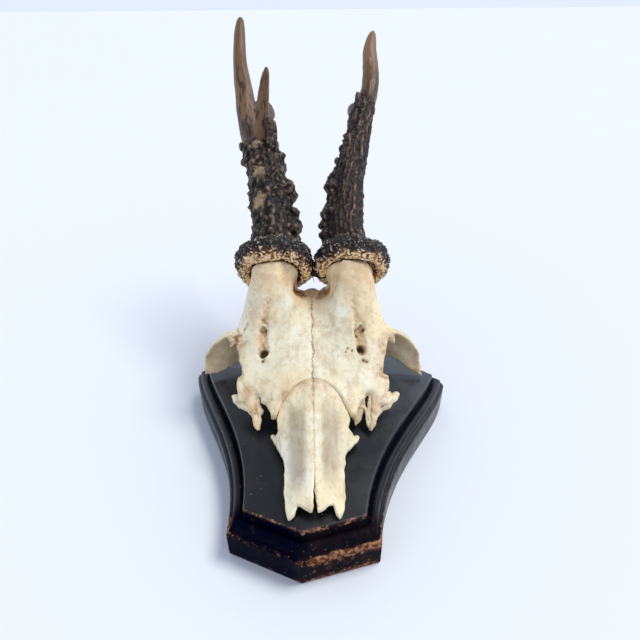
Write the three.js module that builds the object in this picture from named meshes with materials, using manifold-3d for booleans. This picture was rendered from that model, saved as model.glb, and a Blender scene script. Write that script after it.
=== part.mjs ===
// Roe deer antler trophy: a sawn skull cap with both antlers on a black wooden shield that lies on its back.
// Millimetres, +Z up. The origin lies in the shield's flat back face, +Y points from the nose to the antlers.
// Left and right are those of somebody who looks at the trophy from the nose end: left is -X, right is +X.
import * as THREE from "three";
import { mergeVertices } from "three/addons/utils/BufferGeometryUtils.js";
import Module from "manifold-3d";

const wasm = await Module();
wasm.setup();

// Space between pieces that touch
const GAP = 0.3;

// Shield plaque: the outline of its right half, and the moulding as pairs of inset and height
const PLAQUE_FACE = 19;
const PLAQUE_APEX = [0, -47.8];
const PLAQUE_FOOT_CORNER = [25.1, -39.2];
const PLAQUE_SIDE = [[26.5, -4.3], [50.9, 17.1], [55.7, 37.8]];
const PLAQUE_SHOULDER = [[55.6, 39.6], [54.2, 40.1], [52.2, 41.2]];
const PLAQUE_CROWN = [[42, 48], [29, 60], [24, 78]];
const PLAQUE_TOP = [[21, 89], [11, 97], [0, 97.5]];
const PLAQUE_MOULDING = [
  [0.7, 0], [0, 0.9], [0, 11.4], [0.5, 12.9], [1.7, 13.9], [3.3, 14.2],
  [4.7, 14], [5.1, 14.8], [5.3, 18], [6.1, PLAQUE_FACE],
];
const SIDE_STEPS = 12;
const SHOULDER_STEPS = 3;
const CROWN_STEPS = 8;
const TOP_STEPS = 5;

// The skull sits on the shield turned a little, its nose towards the right
const SKULL_TURN = THREE.MathUtils.degToRad(4.9);
const SKULL_SHIFT = 0.5;
const SKULL_FLOOR = PLAQUE_FACE + GAP;

// Heights and half widths along the skull, as pairs of y and value
const BROW_CENTRE = [[-1.5, 31.5], [11.2, 35.5], [22.6, 40.3], [30.9, 44.2], [40, 48], [47, 50], [53.6, 51.4], [57, 48]];
const BROW_EDGE = [
  [-1.5, 28.3], [5, 30], [9.5, 31.2], [12, 32.6], [17.3, 34.6], [21.8, 36.5], [25.6, 38.4],
  [29.2, 40.3], [34.9, 41.3], [42.3, 43.5], [50, 43], [57, 40],
];
const BROW_HALF = [
  [-1.5, 15.9], [2, 16.6], [5, 18.4], [7.5, 23], [9.5, 26.6], [12, 26.6], [17.3, 27.5], [21.8, 28.9],
  [25.6, 30], [29.2, 31], [33, 32.2], [36, 31.5], [42.3, 28.4], [46.3, 27], [51, 24], [57, 18],
];
const BROW_RIM = 2.6;
const BROW_DEEP = 7;
const CRANIUM_HALF = [[36, 13], [42, 18], [50, 23], [60, 26], [70, 26.5], [80, 23.5], [86, 17.5], [90, 11]];
const CRANIUM_TOP = [[36, 36], [44, 44], [54, 47.5], [60, 45.5], [72, 39], [82, 31.5], [87, 26.5], [90, 23]];
const CRANIUM_WALL = 5;
const SEPTUM_HALF = [[9, 4.5], [20, 7], [30, 10], [40, 15], [50, 20]];
const SEPTUM_FLOOR = [[9, 28], [16, 24], [24, SKULL_FLOOR], [50, SKULL_FLOOR]];

// Pedicles: bone posts that carry the antlers, each on a swelling of the brow
const BURR_X = { left: -15.6, right: 17.2 };
const BURR_Y = 57;
const BURR_Z = 61.5;
const BURR_TILT = THREE.MathUtils.degToRad(31);
const BURR_MIDDLE = 0.8;
const PEDICLE_ASIDE = { left: 0.4, right: -1.4 };
const PEDICLE_FOOT = [-7, -21];
const PEDICLE_RADIUS = [[0, 7], [0.4, 9.2], [0.75, 9.8], [1, 10.4]];
const PEDICLE_TOP = -4.6;
const SWELLING = { x: 17.4, y: 50, wide: 10.2, long: 14.8, high: 24.5 };
const SWELLING_TRIM = { back: -12, front: 30, high: 20, wide: 80 };

// Wings behind the eye sockets: the upper and lower edges of each plate, from its root to its outer end
const WING_UPPER = [[22, 40, 42], [30, 35.5, 41.6], [35.8, 34.8, 40.2], [41.4, 34.2, 36.4], [45.2, 33, 30.6]];
const WING_LOWER = {
  left: [[22, 45, 22], [28.5, 41.5, 23.4], [33.1, 37.6, 23.6], [39.6, 33.6, 22.2], [46.3, 31.9, 22.1]],
  right: [[22, 45, 22], [28.5, 41.5, 24], [34.2, 37.2, 26], [40.6, 32.6, 23.4], [46.8, 29.2, 20.2]],
};
const WING_THICK = [[0, 6], [0.4, 4], [1, 2.2]];

// Nasal bones
const NASAL_CENTRE = [[-38, 23.6], [-28, 26.2], [-15, 29], [0, 32.2], [11.5, 35.6]];
const NASAL_DROP = [[-38, 2.6], [-28, 4.1], [-15, 5], [0, 4.3], [11.5, 3]];
const NASAL_HALF = [[-38, 7.9], [-34.5, 9.2], [-28.2, 9.7], [-21.7, 9.6], [-15.5, 10.9], [-6.7, 12.2], [-0.7, 13.1], [11.5, 13.1]];
const NASAL_FRONT = [[0, -37.4], [0.3, -36], [0.55, -34.2], [0.8, -37.2], [1, -38]];
const NASAL_REAR = [[0, 11.2], [0.3, 10.2], [0.6, 7.5], [0.85, 3.5], [1, -0.7]];
const NASAL_SPLIT = [[-38, 1.1], [-30, 0.5], [-22, 0.15], [12, 0.15]];
const NASAL_THICK = 1.8;
const NASAL_CLEAR = { above: 8, below: 2 };

// Broken edges of the upper jaw: how far each spur stands out from its nasal bone along y
const MAXILLA_OUT = [[-15.4, 0.3], [-12, 1.1], [-9.5, 2], [-7.9, 2.9], [-6.9, 2], [-6.2, 0.9]];
const MAXILLA_THICK = 1.5;
const MAXILLA_FALL = 1.1;

// Broken tear bones: plates that hang from the brow's corners, each with a spike to the front and a spur to the side.
// Their outlines are pairs of distance from the skull's middle and y
const TEAR_OUTLINE = {
  left: [
    [20.9, 9.6], [20.9, 5.5], [19.4, 3.2], [20.5, 2.2], [20, 0.6], [20.6, -1.8], [22.3, 0.1], [23.3, 2.1],
    [25.2, 3.8], [27.9, 5.4], [30.7, 8.1], [32.2, 12], [28, 8.7], [27.2, 11.4],
  ],
  right: [
    [21.9, 9.8], [21.4, 5.3], [20, 0.4], [21, -2.8], [22.8, -1.7], [24, 1.3], [26, 3], [29.4, 4.9],
    [30.6, 6.6], [33, 10.5], [32.6, 12.2], [27.6, 8.4], [27.3, 11.4],
  ],
};
const TEAR_TOP = { high: 31, y: 9.5, fall: 0.75, x: 26, slope: 0.5 };
const TEAR_THICK = 1.7;
const TEAR_SEAM = { from: [19.6, 7.6], to: [29.5, 10.2] };
const TEAR_CLEAR = { beyond: 6, deep: 16, high: 30, z: 28 };

// Thin bone that shows in the right gap, fused to the brow from below
const INNER_BONE_LINE = [[16.5, 13, 32], [17.2, 8, 28.6], [17, 4, 25], [16.2, 1, 22.2], [15.6, -0.6, 20.6]];
const INNER_BONE_WIDE = [[0, 4], [0.4, 4.4], [0.75, 2.6], [1, 0.5]];
const INNER_BONE_FLAT = 0.22;
const INNER_BONE_STEP = 2.4;
const INNER_BONE_SIDES = 8;

// Holes and grooves over the eye sockets: centre and half sizes
const BROW_HOLE = { centre: [19.5, 22.2, 39.6], half: [1.3, 1.3, 2.4] };
const BROW_GROOVE = { centre: [19.6, 28.6, 44.4], half: [1.9, 6.4, 1.6], rise: 0.4 };

// Burrs: the ring's section as pairs of distance from the axis and height along it
const BURR_PROFILE = [
  [10.2, -4.9], [12.2, -6.4], [14.6, -5.6], [16.2, -3], [16.7, 0], [15.8, 2.8], [13.9, 4.6], [12, 5.2], [10.6, 4],
];
const BURR_SIDES = 36;
const BURR_KNOB = 0.8;
const BURR_WAVE = 0.7;
const BURR_SCALE = { left: 1.02, right: 0.98 };

// Beams and tines: centre line from the burr up, and radius along it
const BEAM_FOOT = 2.6;
const ANTLERS = {
  left: {
    beam: {
      line: [[-16.4, 68.2, 68], [-16.4, 76.8, 73.1], [-18.4, 86, 79], [-20.3, 97, 86.2], [-22.8, 107.7, 93.6], [-25.4, 115.5, 99]],
      radius: [[0, 10.2], [0.15, 9.4], [0.4, 9], [0.6, 8.6], [0.8, 8.4], [0.92, 7.6], [1, 6.6]],
      ridge: 0.35,
    },
    main_tine: {
      line: [[-26, 112, 96.6], [-29, 121, 102.8], [-30.9, 129, 108.4], [-32.4, 139, 116], [-34, 147, 122.2], [-35.6, 158, 131], [-36.2, 170, 140.8], [-36.1, 180.4, 149.6]],
      radius: [[0, 6], [0.18, 5], [0.35, 4.9], [0.5, 4.4], [0.65, 3.5], [0.8, 3], [0.93, 2.1], [1, 0.6]],
      ridge: 0.18,
    },
    front_tine: {
      line: [[-22.8, 108, 93.5], [-22.8, 110.2, 101], [-22, 112, 109], [-20.7, 114.4, 120], [-18.6, 117, 131.3]],
      radius: [[0, 5], [0.3, 4.1], [0.55, 3.2], [0.8, 2.2], [0.95, 1.3], [1, 0.6]],
      ridge: 0.2,
    },
    rear_tine: {
      line: [[-30.5, 128, 107.8], [-26.4, 132.5, 111], [-22.5, 137, 111.4], [-20.4, 142.5, 108.7], [-18.9, 149.6, 103.3]],
      radius: [[0, 3.6], [0.35, 3.1], [0.7, 2.1], [0.9, 1.4], [1, 0.6]],
      ridge: 0.12,
    },
  },
  right: {
    beam: {
      line: [[15.2, 70.9, 69.6], [15.9, 78.7, 74.3], [17, 86.7, 79.2], [18.6, 96, 85.3], [21, 105.5, 91.6], [23.4, 115.5, 98.6], [26, 125.5, 105.8], [28.6, 133.5, 111.7]],
      radius: [[0, 9.6], [0.12, 8.6], [0.3, 7.7], [0.5, 7], [0.7, 6.3], [0.9, 5.9], [1, 5.4]],
      ridge: 0.5,
    },
    main_tine: {
      line: [[27.6, 130, 109.2], [30.4, 137.2, 114.6], [32.2, 144, 119.8], [33, 154, 127.6], [33.3, 162.6, 134.6], [34.6, 168.4, 139.6], [35.8, 172.4, 142.8]],
      radius: [[0, 5.2], [0.2, 4.5], [0.55, 4.1], [0.75, 3.3], [0.9, 2], [1, 0.7]],
      ridge: 0.18,
    },
    front_tine: {
      line: [[26.4, 129, 106.4], [25.8, 131, 112], [24.8, 134, 118.2]],
      radius: [[0, 3.8], [0.6, 2.4], [1, 0.9]],
      ridge: 0.2,
    },
    rear_tine: {
      line: [[28, 129.4, 108], [26.2, 134.5, 110.2], [23.6, 140.5, 109.2], [21.8, 149.8, 104.4]],
      radius: [[0, 3.8], [0.4, 3], [0.75, 2], [1, 0.6]],
      ridge: 0.12,
    },
  },
};
const BEAM_SIDES = 16;
const TINE_SIDES = 10;
const BEAM_STEP = 3.6;
const TINE_STEP = 5;

// Pearls: knobs in clusters round the beam. Angle 0 points to +X and 90 to the front; from and to run along it
const PEARLS = {
  left: [
    { count: 24, from: 0.12, to: 0.84, angle: [35, 230], size: [1.9, 2.9] },
    { count: 3, from: 0.3, to: 0.4, angle: [-24, 18], size: [5.6, 6.4] },
    { count: 3, from: 0.12, to: 0.24, angle: [-25, 25], size: [3, 3.8] },
    { count: 3, from: 0.49, to: 0.6, angle: [-22, 16], size: [7, 8] },
    { count: 5, from: 0.3, to: 0.62, angle: [-60, 45], size: [2.6, 3.6] },
    { count: 4, from: 0.66, to: 0.92, angle: [-25, 25], size: [2, 2.8] },
    { count: 1, from: 0.8, to: 0.84, angle: [-5, 8], size: [5.4, 6], wide: 0.35 },
    { count: 8, from: 0.15, to: 0.8, angle: [230, 320], size: [2, 3] },
  ],
  right: [
    { count: 4, from: 0.13, to: 0.32, angle: [165, 198], size: [5.4, 6.2] },
    { count: 3, from: 0.38, to: 0.46, angle: [165, 195], size: [6.4, 7.2] },
    { count: 7, from: 0.08, to: 0.48, angle: [140, 220], size: [2.5, 3.6] },
    { count: 3, from: 0.5, to: 0.68, angle: [165, 190], size: [1.6, 2.2] },
    { count: 6, from: 0.06, to: 0.3, angle: [215, 320], size: [1.8, 2.6] },
  ],
};
const PEARL_SEED = { left: 11, right: 29 };
const PEARL_SUNK = 0.3;
const PEARL_WIDE = 0.8;
const PEARL_LONG = 1.35;

// Colours
const FINISH = {
  paint: { color: 0x0b0c10, roughness: 0.35, metalness: 0 },
  bone: { color: 0xe0d0ae, roughness: 0.6, metalness: 0 },
  burr: { color: 0x6b4c30, roughness: 0.75, metalness: 0 },
  bark: { color: 0x2a201a, roughness: 0.65, metalness: 0 },
  tine: { color: 0x7d5b3c, roughness: 0.5, metalness: 0 },
};

// Smooth curve through pairs of position and value, level beyond its ends
function smooth(pairs) {
  const slope = (i) => {
    const a = pairs[Math.max(i - 1, 0)];
    const b = pairs[Math.min(i + 1, pairs.length - 1)];
    return (b[1] - a[1]) / (b[0] - a[0]);
  };
  return (s) => {
    const last = pairs.length - 1;
    if (s <= pairs[0][0]) return pairs[0][1];
    if (s >= pairs[last][0]) return pairs[last][1];
    const i = pairs.findIndex((pair) => pair[0] > s) - 1;
    const span = pairs[i + 1][0] - pairs[i][0];
    const t = (s - pairs[i][0]) / span;
    const [a, b] = [pairs[i][1], pairs[i + 1][1]];
    const blend = t * t * (3 - 2 * t);
    const ease = t * (1 - t) * span;
    return a + (b - a) * blend + ease * ((1 - t) * slope(i) - t * slope(i + 1));
  };
}

// Repeatable numbers from 0 to 1
function seeded(seed) {
  let state = seed;
  return () => {
    state = (state * 16807) % 2147483647;
    return state / 2147483647;
  };
}

// Moves every corner of a closed geometry with place(x, y, z) and returns the solid
function shaped(geometry, place) {
  geometry.deleteAttribute("normal");
  geometry.deleteAttribute("uv");
  const merged = mergeVertices(geometry, 1e-5);
  const corners = merged.attributes.position;
  for (let i = 0; i < corners.count; i += 1) {
    corners.setXYZ(i, ...place(corners.getX(i), corners.getY(i), corners.getZ(i)));
  }
  return solid(corners.array, merged.index.array);
}

// A solid from corner coordinates and triangles, turned to face outwards
function solid(vertProperties, index) {
  const triVerts = new Uint32Array(index);
  const made = new wasm.Manifold(new wasm.Mesh({ numProp: 3, vertProperties, triVerts }));
  if (made.volume() > 0) return made;
  for (let i = 0; i < triVerts.length; i += 3) {
    [triVerts[i + 1], triVerts[i + 2]] = [triVerts[i + 2], triVerts[i + 1]];
  }
  return new wasm.Manifold(new wasm.Mesh({ numProp: 3, vertProperties, triVerts }));
}

// The largest closed surface of a solid
function largest(shape) {
  return shape.decompose().sort((a, b) => b.volume() - a.volume())[0];
}

// A box of cells whose sides run from 0 to 1, bent into shape by place(u, v, w)
function bentBox(cells, place) {
  const box = new THREE.BoxGeometry(1, 1, 1, ...cells);
  return shaped(box, (x, y, z) => place(x + 0.5, y + 0.5, z + 0.5));
}

// A plain block, turned about Z
function block(centre, size, turn = 0) {
  const box = new THREE.BoxGeometry(...size).rotateZ(turn).translate(...centre);
  return shaped(box, (x, y, z) => [x, y, z]);
}

// A ball squeezed to three half sizes, then tilted about X
function pebble(centre, half, tilt = 0, detail = 2) {
  const ball = new THREE.IcosahedronGeometry(1, detail).scale(...half).rotateX(tilt).translate(...centre);
  return shaped(ball, (x, y, z) => [x, y, z]);
}

// A closed rod along a smooth line. wide(t) is the half width across X; flat squeezes it the other way.
// Ridges alternate round the rod, and grow thickens it all over.
function rod(line, wide, { sides = TINE_SIDES, ridge = 0, flat = 1, grow = 0, step = TINE_STEP } = {}) {
  const curve = new THREE.CatmullRomCurve3(line.map((point) => new THREE.Vector3(...point)), false, "centripetal");
  const steps = Math.max(3, Math.round(curve.getLength() / step));
  const half = smooth(wide);
  const tube = new THREE.CylinderGeometry(1, 1, 1, sides, steps);
  return shaped(tube, (x, y, z) => {
    const t = y + 0.5;
    const { centre, across, front, along } = frameAt(curve, t);
    const turn = Math.round((Math.atan2(z, x) / (2 * Math.PI)) * sides);
    const proud = Math.hypot(x, z) > 0.5 ? ridge * (turn % 2 ? 1 : -1) : 0;
    const reach = half(t) + proud + grow;
    const end = t < 1e-6 ? -grow : t > 1 - 1e-6 ? grow : 0;
    return centre
      .addScaledVector(across, x * reach)
      .addScaledVector(front, z * (reach - grow) * flat + z * grow)
      .addScaledVector(along, end)
      .toArray();
  });
}

// Centre and axes at a place along a curve: across lies nearest to X, front at right angles to both
function frameAt(curve, t) {
  const centre = curve.getPointAt(t);
  const along = curve.getTangentAt(t);
  const across = new THREE.Vector3(1, 0, 0).addScaledVector(along, -along.x).normalize();
  const front = new THREE.Vector3().crossVectors(across, along);
  return { centre, across, front, along };
}

// Points of a shield outline's cubic curve after its start
function bend(start, [a, b, end], steps) {
  const curve = new THREE.CubicBezierCurve(...[start, a, b, end].map((point) => new THREE.Vector2(...point)));
  return curve.getPoints(steps).slice(1).map((point) => [point.x, point.y]);
}

// The outline moved inwards by a distance. Where a tight bend would turn inside out, its corners meet in one
function inset(outline, distance) {
  const count = outline.length;
  const at = (list, i) => list[(i + count) % count];
  const moved = outline.map((point, i) => {
    const [before, after] = [at(outline, i - 1), at(outline, i + 1)];
    const normal = (from, to) => new THREE.Vector2(from[1] - to[1], to[0] - from[0]).normalize();
    const first = normal(before, point);
    const second = normal(point, after);
    const reach = distance / (1 + first.dot(second));
    return [point[0] + (first.x + second.x) * reach, point[1] + (first.y + second.y) * reach];
  });
  const turned = moved.map((point, i) => {
    const [old, next, oldNext] = [outline[i], at(moved, i + 1), at(outline, i + 1)];
    return (next[0] - point[0]) * (oldNext[0] - old[0]) + (next[1] - point[1]) * (oldNext[1] - old[1]) < 0;
  });
  return moved.map((point, i) => {
    if (!turned[i] && !at(turned, i - 1)) return point;
    let [first, last] = [i, i];
    while (at(turned, first - 1)) first -= 1;
    while (at(turned, last)) last += 1;
    return crossing(at(moved, first - 1), at(moved, first), at(moved, last), at(moved, last + 1));
  });
}

// Where the line through a and b meets the line through c and d
function crossing(a, b, c, d) {
  const [ab, cd] = [[b[0] - a[0], b[1] - a[1]], [d[0] - c[0], d[1] - c[1]]];
  const share = ((c[0] - a[0]) * cd[1] - (c[1] - a[1]) * cd[0]) / (ab[0] * cd[1] - ab[1] * cd[0]);
  return [a[0] + ab[0] * share, a[1] + ab[1] * share];
}

// The shield: its outline stacked up through the moulding, with flat ends
function plaque() {
  const side = bend(PLAQUE_FOOT_CORNER, PLAQUE_SIDE, SIDE_STEPS);
  const shoulder = bend(PLAQUE_SIDE[2], PLAQUE_SHOULDER, SHOULDER_STEPS);
  const crown = bend(PLAQUE_SHOULDER[2], PLAQUE_CROWN, CROWN_STEPS);
  const top = bend(PLAQUE_CROWN[2], PLAQUE_TOP, TOP_STEPS);
  const right = [PLAQUE_APEX, PLAQUE_FOOT_CORNER, ...side, ...shoulder, ...crown, ...top];
  const left = right.slice(1, -1).reverse().map(([x, y]) => [-x, y]);
  const outline = [...right, ...left];
  const rings = PLAQUE_MOULDING.map(([distance, z]) => inset(outline, distance).map((point) => [...point, z]));
  const count = outline.length;
  const index = [];
  for (let level = 0; level + 1 < rings.length; level += 1) {
    for (let i = 0; i < count; i += 1) {
      const [a, b] = [level * count + i, level * count + ((i + 1) % count)];
      index.push(a, b, b + count, a, b + count, a + count);
    }
  }
  const last = (rings.length - 1) * count;
  const flat = outline.map(([x, y]) => new THREE.Vector2(x, y));
  for (const [a, b, c] of THREE.ShapeUtils.triangulateShape(flat, [])) {
    const [one, two] = THREE.ShapeUtils.area([flat[a], flat[b], flat[c]]) > 0 ? [b, c] : [c, b];
    index.push(a, two, one, a + last, one + last, two + last);
  }
  return solid(new Float32Array(rings.flat(2)), index);
}

// Brow: the plate of both frontal bones, thin at its rim and deeper in the middle
function brow() {
  const centre = smooth(BROW_CENTRE);
  const edge = smooth(BROW_EDGE);
  const half = smooth(BROW_HALF);
  const [front, back] = [BROW_HALF[0][0], BROW_HALF[BROW_HALF.length - 1][0]];
  return bentBox([18, 20, 1], (u, v, w) => {
    const y = front + (back - front) * v;
    const side = 2 * u - 1;
    const x = side * half(y);
    const top = edge(y) + (centre(y) - edge(y)) * (1 - Math.abs(side) ** 2.4);
    const thick = BROW_RIM + (BROW_DEEP - BROW_RIM) * (1 - Math.abs(side));
    const away = ((Math.abs(x) - SWELLING.x) / SWELLING.wide) ** 4 + ((y - SWELLING.y) / SWELLING.long) ** 2;
    return [x, y, w > 0.5 ? top + SWELLING.high * Math.exp(-away) : top - thick];
  });
}

// Cranium: the sawn brain case behind the brow, flat where it stands on the shield
function cranium() {
  const half = smooth(CRANIUM_HALF);
  const top = smooth(CRANIUM_TOP);
  const [front, back] = [CRANIUM_HALF[0][0], CRANIUM_HALF[CRANIUM_HALF.length - 1][0]];
  return bentBox([10, 11, 2], (u, v, w) => {
    const y = front + (back - front) * v;
    const side = 2 * u - 1;
    const wall = SKULL_FLOOR + CRANIUM_WALL;
    const high = wall + (top(y) - wall) * Math.sqrt(1 - Math.abs(side) ** 2.2);
    const bulge = 1 - 0.08 * (1 - w) ** 2;
    return [side * half(y) * bulge, y, SKULL_FLOOR + (high - SKULL_FLOOR) * w];
  });
}

// Septum: the wall between the eye sockets, from the brow down to the shield
function septum() {
  const half = smooth(SEPTUM_HALF);
  const floor = smooth(SEPTUM_FLOOR);
  const roof = smooth(BROW_CENTRE);
  const [front, back] = [SEPTUM_HALF[0][0], SEPTUM_HALF[SEPTUM_HALF.length - 1][0]];
  return bentBox([2, 6, 2], (u, v, w) => {
    const y = front + (back - front) * v;
    const high = roof(y) - BROW_DEEP / 2;
    const flare = 1 + 0.35 * w ** 2;
    return [(2 * u - 1) * half(y) * flare, y, floor(y) + (high - floor(y)) * w];
  });
}

// A wing: the bent plate behind one eye socket
function wing(side, sign) {
  const edge = (line) => new THREE.CatmullRomCurve3(line.map((point) => new THREE.Vector3(...point)));
  const [upper, lower] = [edge(WING_UPPER), edge(WING_LOWER[side])];
  const thick = smooth(WING_THICK);
  return bentBox([8, 1, 5], (u, v, w) => {
    const point = lower.getPoint(u).lerp(upper.getPoint(u), w);
    const bow = 1.2 * Math.sin(Math.PI * w);
    return [sign * point.x, point.y + (v - 0.5) * thick(u) + bow, point.z];
  });
}

// A pedicle, thickened by grow where it is used as a cutter
function pedicle(side, grow = 0) {
  const aside = PEDICLE_ASIDE[side];
  const places = [PEDICLE_FOOT, [0, 2 * PEDICLE_TOP], [0, PEDICLE_TOP]];
  const line = places.map(([front, along]) => alongBurr(side, aside, front, along));
  return rod(line, PEDICLE_RADIUS, { sides: 18, grow });
}

// The height of a nasal bone's upper face
function nasalTop(y, share) {
  return smooth(NASAL_CENTRE)(y) - smooth(NASAL_DROP)(y) * share * share;
}

// A nasal bone; as a cutter it is grown and stretched upwards and downwards
function nasal(sign, grow = 0, clear = { above: 0, below: 0 }) {
  const half = smooth(NASAL_HALF);
  const front = smooth(NASAL_FRONT);
  const rear = smooth(NASAL_REAR);
  const split = smooth(NASAL_SPLIT);
  return bentBox([5, 11, 1], (u, v, w) => {
    const y = front(u) + (rear(u) + grow - front(u)) * v;
    const inner = split(y) - 2 * grow;
    const x = inner + (half(y) + grow - inner) * u;
    const top = nasalTop(y, Math.abs(x) / half(y));
    return [sign * x, y, w > 0.5 ? top + clear.above : top - NASAL_THICK - clear.below];
  });
}

// The broken edge of the upper jaw along a nasal bone, drawn out to a spur
function maxilla(sign) {
  const half = smooth(NASAL_HALF);
  const out = smooth(MAXILLA_OUT);
  const [from, to] = [MAXILLA_OUT[0][0], MAXILLA_OUT[MAXILLA_OUT.length - 1][0]];
  return bentBox([2, 7, 1], (u, v, w) => {
    const y = from + (to - from) * v;
    const x = half(y) + GAP + out(y) * u;
    const top = nasalTop(y, 1) - out(y) * u * MAXILLA_FALL;
    return [sign * x, y, top - MAXILLA_THICK * (1 - w)];
  });
}

// The upright wall along which a tear bone parts from the brow, as a block on one side of it
function tearBlock(sign, ahead) {
  const { from, to } = TEAR_SEAM;
  const { beyond, deep, high, z } = TEAR_CLEAR;
  const turn = Math.atan2(to[1] - from[1], to[0] - from[0]);
  const long = Math.hypot(to[0] - from[0], to[1] - from[1]) + (ahead ? 0 : 2 * beyond);
  const shift = ahead ? -deep / 2 : deep / 2 - GAP;
  const x = (from[0] + to[0]) / 2 - Math.sin(turn) * shift;
  const y = (from[1] + to[1]) / 2 + Math.cos(turn) * shift;
  return block([sign * x, y, z], [long, deep, high], sign * turn);
}

// A broken tear bone: a plate that falls away from the brow to the front and to the side
function tear(sign, side) {
  const outline = new THREE.Shape(TEAR_OUTLINE[side].map(([x, y]) => new THREE.Vector2(x, y)));
  const plate = new THREE.ExtrudeGeometry(outline, { depth: 1, bevelEnabled: false });
  const bent = shaped(plate, (x, y, w) => {
    const front = TEAR_TOP.fall * Math.max(0, TEAR_TOP.y - y);
    const aside = TEAR_TOP.slope * Math.max(0, x - TEAR_TOP.x);
    return [sign * x, y, TEAR_TOP.high - front - aside - TEAR_THICK * (1 - w)];
  });
  return largest(bent.subtract(tearBlock(sign, false)));
}

// The skull cap: brow, brain case, septum, wings and pedicles are one bone
function skullCap() {
  const thin = { flat: INNER_BONE_FLAT, step: INNER_BONE_STEP, sides: INNER_BONE_SIDES };
  const inner = rod(INNER_BONE_LINE, INNER_BONE_WIDE, thin);
  let cap = wasm.Manifold.union([brow(), cranium(), septum(), inner]).subtract(aboveSwellings());
  for (const [side, sign] of SIDES) {
    cap = cap.subtract(burr(side, sign, GAP)).add(pedicle(side)).add(wing(side, sign));
    const hole = BROW_HOLE.centre;
    const groove = BROW_GROOVE.centre;
    cap = cap.subtract(nasal(sign, GAP, NASAL_CLEAR));
    cap = cap.subtract(tearBlock(sign, true));
    cap = cap.subtract(pebble([sign * hole[0], hole[1], hole[2]], BROW_HOLE.half, 0, 1));
    cap = cap.subtract(pebble([sign * groove[0], groove[1], groove[2]], BROW_GROOVE.half, BROW_GROOVE.rise, 1));
  }
  const below = block([0, BURR_Y, SKULL_FLOOR / 2], [PLAQUE_TOP[2][1] * 2, PLAQUE_TOP[2][1] * 2, SKULL_FLOOR]);
  return largest(cap.subtract(below));
}

// The space past the ends of both pedicles, which trims the swellings of the brow level with them
function aboveSwellings() {
  const { back, front, high, wide } = SWELLING_TRIM;
  return bentBox([1, 1, 1], (u, v, w) => {
    const [, y, z] = alongBurr("left", 0, back + (front - back) * w, PEDICLE_TOP + high * v);
    return [wide * (u - 0.5), y, z];
  });
}

// A burr: a knobbly ring round the foot of the beam, thickened by grow where it is used as a cutter
function burr(side, sign, grow = 0) {
  const profile = BURR_PROFILE;
  const ring = new THREE.CylinderGeometry(1, 1, 1, BURR_SIDES, profile.length - 1);
  const draw = seeded(PEARL_SEED[side]);
  return shaped(ring, (x, y, z) => {
    const level = Math.round((y + 0.5) * (profile.length - 1));
    const turn = Math.atan2(z, x);
    const rim = Math.hypot(x, z) > 0.5;
    const outer = level > 0 && level < profile.length - 1;
    const knob = outer ? BURR_KNOB * (2 * draw() - 1) : 0;
    const outwards = Math.min(level, 2) - 1;
    const reach = rim ? (profile[level][0] + knob) * BURR_SCALE[side] + grow * outwards : 0;
    const wave = rim && outer ? BURR_WAVE * Math.sin(3 * turn + sign) : 0;
    const height = rim ? profile[level][1] + wave : Math.sign(y) * (profile[level][1] * Math.sign(y) - 1);
    const thicker = 1.5 * grow * Math.sign(y);
    return alongBurr(side, Math.cos(turn) * reach, Math.sin(turn) * reach, height + thicker);
  });
}

// A point given across, in front of and along the axis of a burr
function alongBurr(side, across, front, along) {
  const [c, s] = [Math.cos(BURR_TILT), Math.sin(BURR_TILT)];
  return [BURR_X[side] + across, BURR_Y + along * c - front * s, BURR_Z + along * s + front * c];
}

// A beam with its ridges and pearls
function beam(side, grow = 0) {
  const { line, radius, ridge } = ANTLERS[side].beam;
  const full = [alongBurr(side, 0, 0, BEAM_FOOT), ...line];
  const core = rod(full, radius, { sides: BEAM_SIDES, step: BEAM_STEP, ridge, grow });
  const curve = new THREE.CatmullRomCurve3(full.map((point) => new THREE.Vector3(...point)), false, "centripetal");
  const reach = smooth(radius);
  const draw = seeded(PEARL_SEED[side]);
  const pick = ([low, high]) => low + (high - low) * draw();
  const pieces = [core];
  for (const cluster of PEARLS[side]) {
    for (let i = 0; i < cluster.count; i += 1) {
      const t = cluster.from + ((cluster.to - cluster.from) * (i + draw())) / cluster.count;
      const turn = THREE.MathUtils.degToRad(pick(cluster.angle));
      const size = pick(cluster.size);
      const wide = size * (cluster.wide ?? PEARL_WIDE) + grow;
      const half = [wide, wide * PEARL_LONG, size + grow];
      pieces.push(pearl(frameAt(curve, t), reach(t) - size * PEARL_SUNK, turn, half, draw() * Math.PI));
    }
  }
  return largest(wasm.Manifold.union(pieces));
}

// One pearl: a knob of three half sizes, longest along the beam, with its root sunk in
function pearl({ centre, across, front, along }, seat, turn, half, twist) {
  const out = across.clone().multiplyScalar(Math.cos(turn)).addScaledVector(front, Math.sin(turn));
  const beside = new THREE.Vector3().crossVectors(out, along);
  const place = new THREE.Matrix4().makeBasis(beside, along, out);
  place.setPosition(centre.clone().addScaledVector(out, seat));
  const knob = new THREE.IcosahedronGeometry(1, 0).rotateZ(twist).scale(...half).applyMatrix4(place);
  return shaped(knob, (x, y, z) => [x, y, z]);
}

// A tine, cut clear of what it grows from
function tine(side, name, neighbours) {
  const { line, radius, ridge } = ANTLERS[side][name];
  return largest(neighbours.reduce((left, other) => left.subtract(other), rod(line, radius, { ridge })));
}

// A solid as a named mesh
function piece(name, shape, finish) {
  const made = shape.getMesh();
  const geometry = new THREE.BufferGeometry();
  geometry.setAttribute("position", new THREE.BufferAttribute(made.vertProperties, 3));
  geometry.setIndex(new THREE.BufferAttribute(made.triVerts, 1));
  geometry.computeVertexNormals();
  const mesh = new THREE.Mesh(geometry, new THREE.MeshStandardMaterial({ ...FINISH[finish], flatShading: true }));
  mesh.name = name;
  return mesh;
}

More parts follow.
